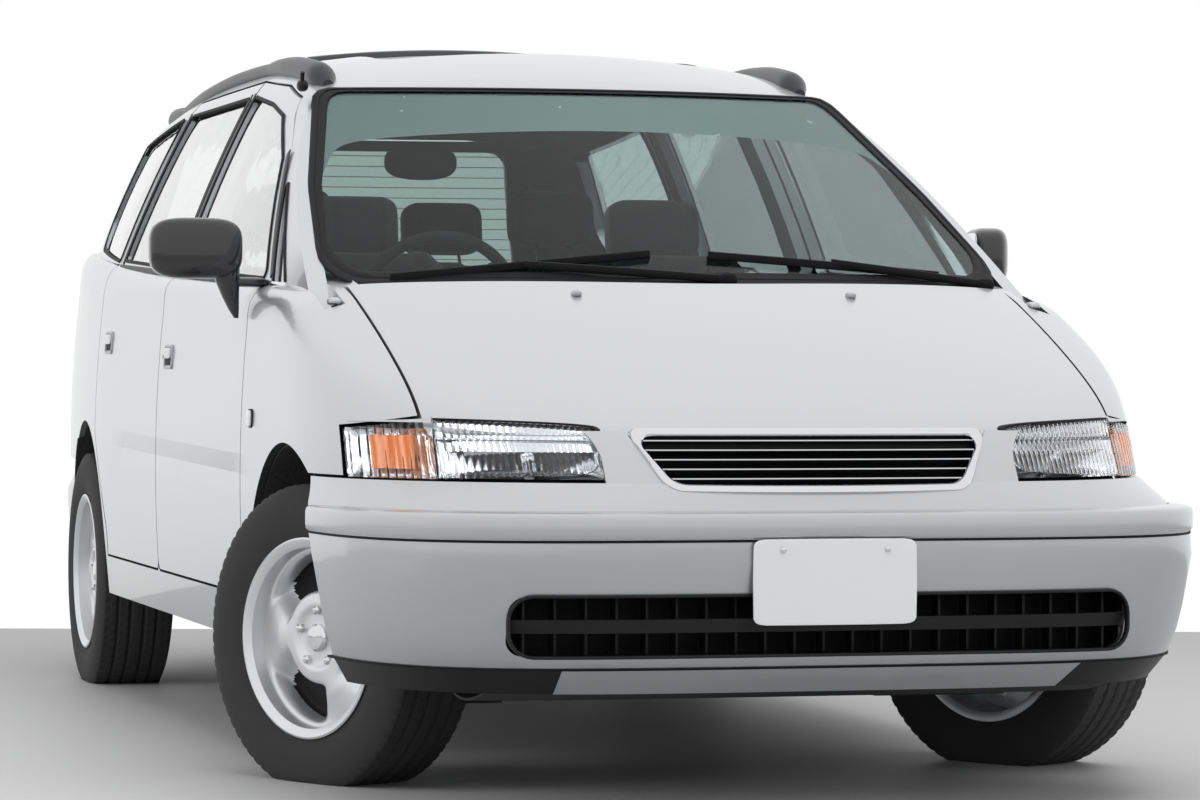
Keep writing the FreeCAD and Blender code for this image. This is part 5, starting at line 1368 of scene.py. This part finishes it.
@dataclass
class Mirrors:
    """Door mirrors: the right one open, the left one folded back against the glass."""

    width: float = 205
    height: float = 133
    depth: float = 95
    foot_half: float = 880
    back: float = 470
    low: float = 1054
    fold: float = math.radians(79)
    tuck: float = 46
    flat_share: float = 0.36

    def head(self) -> Shape:
        """The housing: a rounded block with a domed front and a flat back."""
        halves = (self.width / 2, self.depth / 2, self.height / 2)
        vertices, faces = soft_box((self.width / 2, 0, self.height / 2), halves, 3.6, 25, 48)
        front = vertices[:, 1] < 0
        bulge = 1 - ((vertices[:, 0] - self.width / 2) / self.width) ** 2
        vertices[front, 1] *= bulge[front]
        vertices[:, 1] = np.minimum(vertices[:, 1], self.depth * self.flat_share)
        return vertices, faces

    def glass(self) -> Shape:
        """The mirror plate, a little inside the housing's back."""
        return soft_box((self.width / 2 + 4, self.depth * self.flat_share + 0.5, self.height / 2),
                        (self.width / 2 - 14, 2, self.height / 2 - 12), 6, 9, 40)

    def place(self, parts: Shape, folded: bool) -> Shape:
        """Turn a folded head about its foot and set it on the door."""
        points, faces = parts
        pivot = np.array([self.depth / 2 - 8, 0, 0])
        points = turned(points - pivot, self.fold) + pivot if folded else points
        inboard = self.tuck if folded else 0
        return points + (self.foot_half - inboard, self.back + inboard * 0.6, self.low), faces

    def foot(self, claw: bool) -> Shape:
        """The foot: a low arm to the window's corner, and a claw that tapers down on the door."""
        way = np.array([(914, 1090, 30), (911, 1050, 27), (904, 1015, 19), (897, 988, 12), (891, 968, 5)])
        across, up, size = (np.interp(np.linspace(0, 4, 17), np.arange(5), line)[:, None] for line in way.T)
        turn = full_turn(20)
        grid = np.stack([across + size * np.cos(turn), self.back + 6 + size * 1.15 * np.sin(turn),
                         up + 0 * turn], -1)
        arm = soft_box((866, self.back + 14, 1047), (48, 30, 11), 3, 11, 28)
        return join([arm, tube(grid)] if claw else [arm])

    def build(self) -> None:
        """Add both mirrors, each riding its front door."""
        for side, folded in (("left", True), ("right", False)):
            for name, shape, finish, nodes in (
                    ("head", self.place(self.head(), folded), Finishes.SHELL_BLACK, [f"mirror_{side}"]),
                    ("plate", self.place(self.glass(), folded), Finishes.MIRROR, []),
                    ("foot", self.foot(not folded), Finishes.SHELL_BLACK, [])):
                add_here(f"mirror_{name}_{side}", shape if side == "left" else mirror(shape), finish,
                         f"door_front_{side}", nodes)


@dataclass
class RoofTrim:
    """Roof rails with thick feet, strips across the sunroof's opening and the antenna's base."""

    front: float = 1010
    back: float = 3300

    def rail(self) -> Shape:
        """A rail whose section swells into a long foot at either end."""
        front_foot, back_foot, tip, sunk = 620, 300, 60, 10
        y = np.linspace(self.front, self.back, 90)
        x = np.interp(y, [self.front, 1400, 2600, self.back], [577, 592, 592, 576]) * Form.taper(y)
        end = np.minimum((y - self.front) / front_foot, (self.back - y) / back_foot)
        foot = np.clip(1 - end, 0, 1) ** 0.8
        lip = np.clip(np.minimum(y - self.front, self.back - y) / tip, 0.15, 1) ** 0.5
        seat = Form.roof_z(x, y) - sunk
        turn = full_turn(16)
        wide, tall = (13 + 22 * foot) * lip, (15 + 22 * foot) * lip
        rings = np.stack([x[:, None] + wide[:, None] * np.cos(turn), y[:, None] + 0 * turn,
                          seat[:, None] + tall[:, None] * (0.35 + np.sin(turn))], -1)
        return tube(rings)

    def build(self) -> None:
        """Add the rails, the strips and the antenna's base."""
        rail, _ = add_pair("rail", self.rail(), Finishes.RAIL)
        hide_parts("roof_rails")
        for back, height in ((2105, 20), (2400, 26)):
            across = np.linspace(-404, 404, 41)
            crown = np.minimum(Form.roof_z(across, back + 0 * across) + height, 1684)
            path = np.stack([across, back + 14 * (across / 404) ** 2, crown], 1)
            add_here(f"sunroof_rim_{back}", sweep(path, round_profile(12, 14, 12, 3), (0, 0, 1)),
                     Finishes.ROOF_GLASS)
        mast = sweep([(-650, 955, 1515), (-652, 940, 1542)], round_profile(5, 5, 8), (1, 0, 0))
        base = join([soft_box((-648, 960, 1512), (13, 22, 14), 2.4, 11, 20), mast])
        add_here("antenna_base", base, Finishes.TRIM)


@dataclass
class Cabin:
    """What shows through the glass: seats, dashboard, steering wheel, linings and mirrors."""

    base_top: float = 520
    wheel_radius: float = 186
    wheel_tilt: float = math.radians(24)
    wheel_centre: tuple[float, float, float] = (-390.0, 705, 985)
    roof_opening: tuple[float, float, float] = (405, 1230, 1860)
    lining_thick: float = 0.004

    def cushion(self, centre: tuple[float, float, float], size: tuple[float, float, float],
                lean: float = 0.0, bolster: float = 22.0, seams: int = 4) -> Shape:
        """A padded block with side bolsters and pressed seams.

        Args:
            centre: its middle.
            size: its width, depth and height.
            lean: how far it leans back, in radians.
            bolster: how far the sides swell.
            seams: pressed lines across the middle panel.

        Returns:
            Vertices and faces: a superellipsoid whose front is raised by a cosine at the sides
            and lowered by narrow dips at the seams.
        """
        bolster_at, bolster_wide, seam_at, seam_half = 0.45, 0.4, 0.55, 0.03
        seam_depth, line_depth, line_share, line_half = 6, 4, 0.93, 0.52
        width, depth, height = size
        vertices, faces = soft_box((0, 0, 0), (width / 2, depth / 2, height / 2), 5, 33, 64)
        across = np.abs(vertices[:, 0] / (width / 2))
        flat = height < depth
        along = vertices[:, 1] / (depth / 2) if flat else vertices[:, 2] / (height / 2)
        beyond = np.clip(across - bolster_at, 0, bolster_wide)
        swell = bolster * (0.5 - 0.5 * np.cos(beyond / bolster_wide * 2 * math.pi))
        dips = seam_depth * np.exp(-((across - seam_at) / seam_half) ** 2)
        lines = line_depth * (np.cos(along * math.pi * seams) > line_share) * (across < line_half)
        axis, outside = (2, 1) if flat else (1, -1)
        raised = vertices[:, axis] * outside > 0
        vertices[raised, axis] += outside * (swell - dips - lines)[raised]
        cosine, sine = math.cos(lean), math.sin(lean)
        leaned = vertices.copy()
        leaned[:, 1] = cosine * vertices[:, 1] + sine * vertices[:, 2]
        leaned[:, 2] = cosine * vertices[:, 2] - sine * vertices[:, 1]
        return leaned + centre, faces

    def seat(self, name: str, centre: float, front: float, width: float, floor: float, rests: int,
             node: str) -> None:
        """One seat or bench: base, cushion, back and headrests, as padded cloth."""
        middle, half = (floor + self.base_top) / 2, (self.base_top - floor) / 2
        base = soft_box((centre, front + 250, middle), (width / 2 - 45, 190, half), 8, 9, 24)
        add_here(f"{name}_base", base, Finishes.CABIN)
        cushion = self.cushion((centre, front + 245, 585), (width - 12, 480, 150), 0.06)
        back = self.cushion((centre, front + 610, 870), (width - 16, 130, 560), 0.38, 26, 5)
        for part, shape, nodes in (("cushion", cushion, [node] if node else []), ("back", back, [])):
            piece = add_here(f"{name}_{part}", shape, Finishes.CLOTH, replaces=nodes)
        aside = width * (0.32 if front < 2000 else 0.24)
        spots, top = ([centre], 1206) if rests == 1 else ([centre - aside, centre + aside], 1262)
        for index, spot in enumerate(spots):
            rest = self.cushion((spot, front + 790, top), (238, 84, 150), 0.16, 6, 1)
            piece = add_here(f"{name}_headrest_{index}", rest, Finishes.CLOTH)
            posts = [sweep([(across, front + 730, top - 112), (across, front + 780, top - 50)],
                           round_profile(5, 5, 8), (1, 0, 0)) for across in (spot - 45, spot + 45)]
            add_here(f"{name}_posts_{index}", join(posts), Finishes.CHROME)

    def dash(self) -> None:
        """The dashboard with an instrument hood and a centre stack."""
        merged_copy("dashboard", Finishes.CABIN)
        hood = self.cushion((-390, 400, 1020), (420, 260, 90), 0.0, 0, 1)
        add_here("instrument_hood", hood, Finishes.CABIN)
        add_here("centre_stack", soft_box((0, 545, 820), (130, 30, 140), 8, 11, 28), Finishes.TRIM)

    def steering(self) -> None:
        """A steering wheel: a ring on its tilted axis, four spokes and a padded boss."""
        tilt, radius = self.wheel_tilt, self.wheel_radius
        axis = np.array([0, -math.cos(tilt), -math.sin(tilt)])
        upward = np.array([0, -math.sin(tilt), math.cos(tilt)])
        right, centre = np.array([1.0, 0, 0]), np.array(self.wheel_centre)

        def aim(turn: np.ndarray) -> np.ndarray:
            """The direction in the wheel's plane at an angle."""
            return np.cos(turn) * right + np.sin(turn) * upward

        ring = aim(full_turn(96)[:, None])
        parts = [sweep(centre + radius * ring, round_profile(14, 13, 14), ring, True)]
        for angle in (200, 340, 250, 290):
            path = centre + axis * 22 + np.linspace(30, radius - 4, 9)[:, None] * aim(math.radians(angle))
            path -= axis * np.linspace(0, 20, 9)[:, None]
            parts.append(sweep(path, round_profile(7, 15, 10, 3), axis))
        add_here("steering_ring", join(parts), Finishes.CABIN, "steering_wheel", ["steering_wheel"])
        boss, faces = soft_box((0, 0, 0), (72, 30, 58), 3.5, 17, 36)
        boss = boss @ np.stack([right, -axis, upward]) + centre + axis * 14
        add_here("steering_boss", (boss, faces), Finishes.CABIN, "steering_wheel")
        column = sweep([centre + axis * 30, centre + axis * 146], round_profile(30, 34, 16), right)
        add_here("steering_column", column, Finishes.CABIN, "steering_wheel")

    def linings(self) -> None:
        """The headliner round the roof's opening, the door linings and both inside mirrors."""
        across, along = lattice((-545, 545, 33), (930, 3420, 60))
        grid = np.stack([across, along, Form.roof_z(across, along) - 44], -1)
        faces = grid_faces(33, 60)
        middle = grid.reshape(-1, 3)[faces].mean(axis=1)
        half, front, back = self.roof_opening
        hole = (np.abs(middle[:, 0]) < half) & (middle[:, 1] > front) & (middle[:, 1] < back)
        liner = add_piece("headliner", to_row(grid), faces[~hole], Finishes.LINER, "body")
        solid = liner.modifiers.new("thickness", "SOLIDIFY")
        solid.thickness, solid.offset = self.lining_thick, 0
        inset, swell, swell_up, swell_half = 66, 20, 760, 60
        for end, first, last in (("front", 470, 1560), ("rear", 1600, 2400)):
            back, up = lattice((first, last, 33), (390, 1010, 21))
            wall = Form.side_x(back, up) - inset - swell * np.exp(-((up - swell_up) / swell_half) ** 4)
            panel = slab(np.stack([wall, back, up], -1), (4, 0, 0))
            add_pair(f"door_lining_{end}", panel, Finishes.CABIN, f"door_{end}_{{side}}")
        stalk = sweep([(17, 908, 1450), (17, 870, 1500)], round_profile(10, 10, 10), (1, 0, 0))
        head = soft_box((17, 905, 1434), (100, 16, 32), 3.4, 15, 36)
        add_here("cabin_mirror", join([head, stalk]), Finishes.CABIN)
        rear = soft_box((217, 3530, 1458), (110, 12, 52), 2.6, 15, 36)
        add_here("tail_mirror", rear, Finishes.CABIN, "tailgate")

    def build(self) -> None:
        """Add the seats, the dashboard, the steering wheel and the linings."""
        self.seat("seat_right", -390, 860, 500, 300, 1, "front_seats")
        self.seat("seat_left", 390, 860, 500, 300, 1, "")
        self.seat("seat_middle", 0, 1800, 1150, 300, 2, "rear_seats")
        self.seat("seat_back", 0, 2720, 1150, 470, 2, "")
        self.dash()
        self.steering()
        self.linings()


@dataclass
class Wheel:
    """One road wheel: a treaded tyre and a three-window alloy rim, about its own X axis."""

    end: str
    side: str
    centre: np.ndarray
    steer: float
    radius: float = 0.323
    half_width: float = 0.1025
    rim_radius: float = 0.198
    flange_radius: float = 0.208
    rim_half: float = 0.091
    nut_circle: float = 0.05715
    groove_depth: float = 0.007
    notch_depth: float = 0.003
    segments: int = 288
    rings: int = 64
    steps: int = 300
    window_foot: float = 0.100
    window_head: float = 0.174
    window_depth: float = 0.055
    shadow_depth: float = 0.017

    @property
    def spot(self) -> str:
        """Which of the four wheels it is."""
        return f"{self.end}_{self.side}"

    def place(self, points: np.ndarray) -> np.ndarray:
        """Move points from the wheel's own axes to its place: mirror, turn, then shift."""
        sign = -1 if self.side == "right" else 1
        return turned(points * (sign, 1, 1), self.steer) + self.centre

    def add(self, name: str, parts: Shape, finish: Finishes, node: str = "",
            sharp: float = 35.0) -> bpy.types.Object:
        """Add one piece of the wheel at its place."""
        vertices, faces = self.place(parts[0]), parts[1]
        return add_piece(f"{name}_{self.spot}", vertices, outward(vertices, faces), finish,
                         f"wheel_{self.spot}", [node] if node else [], sharp)

    def tyre(self) -> Shape:
        """The tyre: a bulged section turned round, with grooves cut across and round the tread.

        Returns:
            Vertices and quads. The tread's radius is lowered by the groove's depth in four
            grooves round the tyre and by the notch's depth in slanted grooves across it; a flat
            stands on the ground.
        """
        half, top, fall = self.half_width, self.radius, 0.0035
        bead, flange = self.rim_half - 0.001, self.flange_radius + 0.001
        wall = np.array([(-bead, self.rim_radius + 0.0006), (-bead - 0.001, flange),
                         (-0.0945, flange + 0.010), (-0.1000, flange + 0.030), (-half, flange + 0.052),
                         (-half + 0.001, flange + 0.070), (-half + 0.0035, flange + 0.086),
                         (-half + 0.0080, flange + 0.099), (-half + 0.014, top - fall)])
        edge = half - 0.0185
        tread_x = np.linspace(-edge, edge, 49)
        crown = top - fall * (tread_x / edge) ** 2
        profile = np.concatenate([wall, np.stack([tread_x, crown], 1), wall[::-1] * (-1, 1)])
        turn = full_turn(self.segments)[:, None]
        across = profile[None, :, 0] + 0 * turn
        radius = profile[None, :, 1] + 0 * turn
        tread = np.abs(across) < half - 0.012
        groove_half, rib_half, notches_half, slope, narrow = 0.0034, 0.006, 36, 42, 0.8
        for groove in (-0.052, -0.018, 0.018, 0.052):
            radius = radius - self.groove_depth * np.exp(-((across - groove) / groove_half) ** 4) * tread
        slant = turn * notches_half + np.abs(across) * slope * np.sign(across + 0.0001)
        notches = (np.sin(slant * 2) > narrow) & tread & (np.abs(across) > rib_half)
        radius = radius - self.notch_depth * notches
        ring_lift, ring_at, ring_half = 0.0008, 0.0995, 0.001
        ring = ring_lift * np.exp(-((np.abs(across) - ring_at) / ring_half) ** 2) * (~tread)
        across = across + np.sign(across) * ring
        height = np.maximum(radius * np.sin(turn), -self.centre[2] + 0.0002)
        points = np.stack([across, radius * np.cos(turn), height], axis=-1)
        return points.reshape(-1, 3), grid_faces(self.segments, profile.shape[0], True, True)

    def face(self) -> Shape:
        """The rim's face: a dished disc whose three windows sink between broad blades.

        Returns:
            Vertices and quads of a polar height field, closed by a back sheet.
        """
        windows, side_steep, end_steep = 3, 17, 420
        radius = np.linspace(0.012, 0.1885, self.rings)[:, None]
        turn = full_turn(self.steps)[None, :]
        dish = 0.057 + 0.012 * np.clip((0.19 - radius) / 0.12, 0, 1) ** 1.5
        bowl = -0.010 * np.exp(-((radius - 0.040) / 0.022) ** 4)
        off = np.abs((turn * windows / (2 * math.pi)) % 1 - 0.5) * 2
        width = np.clip(0.62 - (radius - 0.085) * 1.6, 0.2, 0.8)
        window = (soft_step((width - off) * side_steep)
                  * soft_step((radius - self.window_foot) * end_steep)
                  * soft_step((self.window_head - radius) * end_steep))
        ends = np.clip((radius - 0.07) / 0.05, 0, 1) * np.clip((0.175 - radius) / 0.05, 0, 1)
        crest = 0.006 * np.exp(-((off - 1) / 0.30) ** 2) * ends
        height = dish + bowl + crest - self.window_depth * window
        points = np.stack([height, radius * np.cos(turn), radius * np.sin(turn)], axis=-1)
        back = points.copy()
        back[..., 0] = np.minimum(points[..., 0] - 0.006, 0.004)
        both = np.concatenate([points, back[::-1]])
        return both.reshape(-1, 3), grid_faces(*both.shape[:2], True, True)

    def barrel(self) -> Shape:
        """The rim's barrel: a channel with a rolled, polished lip."""
        half, lip = self.rim_half + 0.006, self.flange_radius
        profile = np.array([
            (-half, lip), (-half, lip - 0.010), (-half + 0.004, self.rim_radius - 0.010),
            (0.050, self.rim_radius - 0.012), (half - 0.010, self.rim_radius - 0.010),
            (half - 0.001, lip - 0.009), (half + 0.001, lip - 0.003), (half - 0.001, lip + 0.001),
            (half - 0.005, lip), (half - 0.0065, self.rim_radius + 0.001),
            (-half + 0.0065, self.rim_radius + 0.001), (-half + 0.005, lip)])
        return revolve(profile, 144)

    def hub(self) -> Shape:
        """Five lug nuts on their circle round a plain domed cap."""
        nut, faces = revolve(np.array([(0.045, 0.0005), (0.045, 0.0105), (0.068, 0.0100), (0.072, 0.006),
                                       (0.073, 0.0005)]), 6)
        turns = 0.3 + np.arange(5) * 2 * math.pi / 5
        parts = [(nut + (0, self.nut_circle * math.cos(turn), self.nut_circle * math.sin(turn)), faces)
                 for turn in turns]
        cap = np.array([(0.050, 0.0005), (0.050, 0.030), (0.066, 0.029), (0.071, 0.024), (0.0735, 0.012),
                        (0.074, 0.0005)])
        return join([*parts, revolve(cap, 48)])

    def brake(self) -> Shape:
        """The brake disc and the drum behind the windows."""
        disc = np.array([(-0.024, 0.026), (-0.024, 0.130), (-0.004, 0.130), (-0.004, 0.026)])
        neck = np.array([(-0.012, 0.026), (-0.012, 0.068), (0.050, 0.066), (0.050, 0.026)])
        return join([revolve(disc, 64), revolve(neck, 48)])

    def build(self) -> None:
        """Add the tyre, the rim with its barrel, nuts, cap and brake."""
        self.add("tyre_treaded", self.tyre(), Finishes.TYRE, f"tyre_{self.spot}", 50)
        vertices, faces = self.face()
        face = self.add("rim_face", (vertices, faces), Finishes.ALLOY, f"rim_{self.spot}", 60)
        face.data.materials.append(Finishes.ALLOY_DARK.material)
        on_front = np.arange(len(faces)) < (self.rings - 1) * self.steps
        deep = (vertices[faces, 0].mean(axis=1) < self.shadow_depth) & on_front
        face.data.polygons.foreach_set("material_index", deep.astype(np.int32))
        self.add("rim_barrel", self.barrel(), Finishes.ALLOY)
        self.add("rim_nuts", self.hub(), Finishes.CHROME, sharp=30)
        self.add("rim_brake", self.brake(), Finishes.CAST, sharp=30)


@dataclass
class Wheels:
    """All four wheels at their places: the front pair turned with the steering."""

    front_track: float = 1.545
    rear_track: float = 1.560
    kingpin_inboard: float = 0.086
    hub_height: float = 0.300
    steer_left: float = math.radians(32)
    steer_right: float = math.radians(28)

    def build(self) -> None:
        """Build each wheel about its place."""
        for side, sign, steer in (("left", 1, self.steer_left), ("right", -1, self.steer_right)):
            arm = sign * self.kingpin_inboard
            front = np.array([sign * self.front_track / 2 + arm * (math.cos(steer) - 1),
                              AXLE_SHIFT + arm * math.sin(steer), self.hub_height])
            Wheel("front", side, front, steer).build()
            rear = np.array([sign * self.rear_track / 2, AXLE_SHIFT + WHEELBASE, self.hub_height])
            Wheel("rear", side, rear, 0.0).build()


@dataclass
class Studio:
    """The camera at the photograph's place, a pale floor, a white surround and soft lamps."""

    camera_place: tuple[float, float, float] = (-2.596, -8.839 + AXLE_SHIFT, 0.878)
    yaw: float = math.radians(15.21)
    pitch: float = math.radians(-0.53)
    roll: float = math.radians(0.17)
    focal_pixels: float = 4300.5
    image_width: int = 1200
    floor_grey: float = 0.50
    floor_depth: float = 13.98

    def camera(self) -> None:
        """Aim the camera: forward by yaw and pitch, then rolled about its own axis."""
        ahead = np.array([math.sin(self.yaw) * math.cos(self.pitch),
                          math.cos(self.yaw) * math.cos(self.pitch), math.sin(self.pitch)])
        right = np.array([math.cos(self.yaw), -math.sin(self.yaw), 0.0])
        upward = np.cross(right, ahead)
        cosine, sine = math.cos(self.roll), math.sin(self.roll)
        right, upward = cosine * right + sine * upward, -sine * right + cosine * upward
        data = bpy.data.cameras.new("photo_camera")
        data.sensor_width = 36
        data.lens = self.focal_pixels / self.image_width * data.sensor_width
        camera = add_object("photo_camera", data)
        camera.matrix_world = placed(self.camera_place, right, upward, -ahead)
        bpy.context.scene.camera = camera

    def floor(self) -> None:
        """A plain floor, pale where the camera sees it beyond the vehicle."""
        mesh = bpy.data.meshes.new("studio_floor")
        ahead = np.array([math.sin(self.yaw), math.cos(self.yaw), 0.0])
        right = np.array([ahead[1], -ahead[0], 0.0])
        start = np.array(self.camera_place) * (1, 1, 0)
        corners = [start + ahead * depth + right * across for depth, across in (
            (-20, -30), (-20, 30), (self.floor_depth, 30), (self.floor_depth, -30))]
        mesh.from_pydata([tuple(corner) for corner in corners], [], [(0, 1, 2, 3)])
        shader = Shader("studio_floor")
        shader.set(Base_Color=(self.floor_grey,) * 3, Roughness=0.55)
        mesh.materials.append(shader.material)
        add_object("studio_floor", mesh)

    def world(self) -> None:
        """A white surround to the camera and to gloss and glass, softer as light."""
        world = bpy.data.worlds.new("studio_white")
        bpy.context.scene.world = world
        world.use_nodes = True
        nodes = Nodes(world.node_tree)
        rays = nodes.node("ShaderNodeLightPath").outputs
        seen = nodes.node("ShaderNodeMath", {"operation": "ADD"},
                          {0: rays["Is Camera Ray"], 1: rays["Is Transmission Ray"]})
        more = nodes.node("ShaderNodeMath", {"operation": "ADD", "use_clamp": True},
                          {0: seen.outputs[0], 1: rays["Is Glossy Ray"]})
        light, white = (nodes.node("ShaderNodeBackground", inputs={
            "Color": (1.0, 1.0, 1.0), "Strength": strength}) for strength in (0.50, 1.0))
        mixer = nodes.node("ShaderNodeMixShader", inputs={
            0: more.outputs[0], 1: light.outputs[0], 2: white.outputs[0]})
        nodes.node("ShaderNodeOutputWorld", inputs={"Surface": mixer.outputs[0]})

    def lamps(self) -> None:
        """Three large soft lamps: overhead, ahead and from the right."""
        for name, place, aim, width, power in (
                ("overhead", (0.5, -1.5, 5.0), (0, -0.5, 0.8), 5.0, 190),
                ("ahead", (2.5, -7.5, 3.2), (0, -1.5, 0.8), 3.5, 80),
                ("right", (-6.0, -1.5, 3.0), (0, 0, 0.8), 4.0, 150)):
            data = bpy.data.lights.new(name, "AREA")
            data.size, data.energy = width, power
            lamp = add_object(name, data)
            lamp.visible_glossy = False
            back = unit(np.subtract(place, aim))
            right = unit(np.cross([0.0, 0.0, 1.0], back))
            lamp.matrix_world = placed(place, right, np.cross(back, right), back)

    def build(self) -> None:
        """Set the view and build the studio."""
        bpy.context.scene.view_settings.view_transform = "Standard"
        self.camera()
        self.floor()
        self.world()
        self.lamps()


def placed(place: Sequence[float], *axes: np.ndarray) -> Matrix:
    """A matrix at a place with those three axes."""
    return Matrix.Translation(tuple(place)) @ Matrix(axes).transposed().to_4x4()


def main() -> None:
    """Build the sub-assemblies in order."""
    logging.basicConfig(level=logging.INFO, format="%(name)s %(message)s")
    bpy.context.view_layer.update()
    for assembly in (BodyPanels, ScreenTrim, Lamps, Grille, BumperTrim, SideTrim, Mirrors, RoofTrim,
                     Cabin, Wheels, Studio):
        assembly().build()


if __name__ == "__main__":
    main()
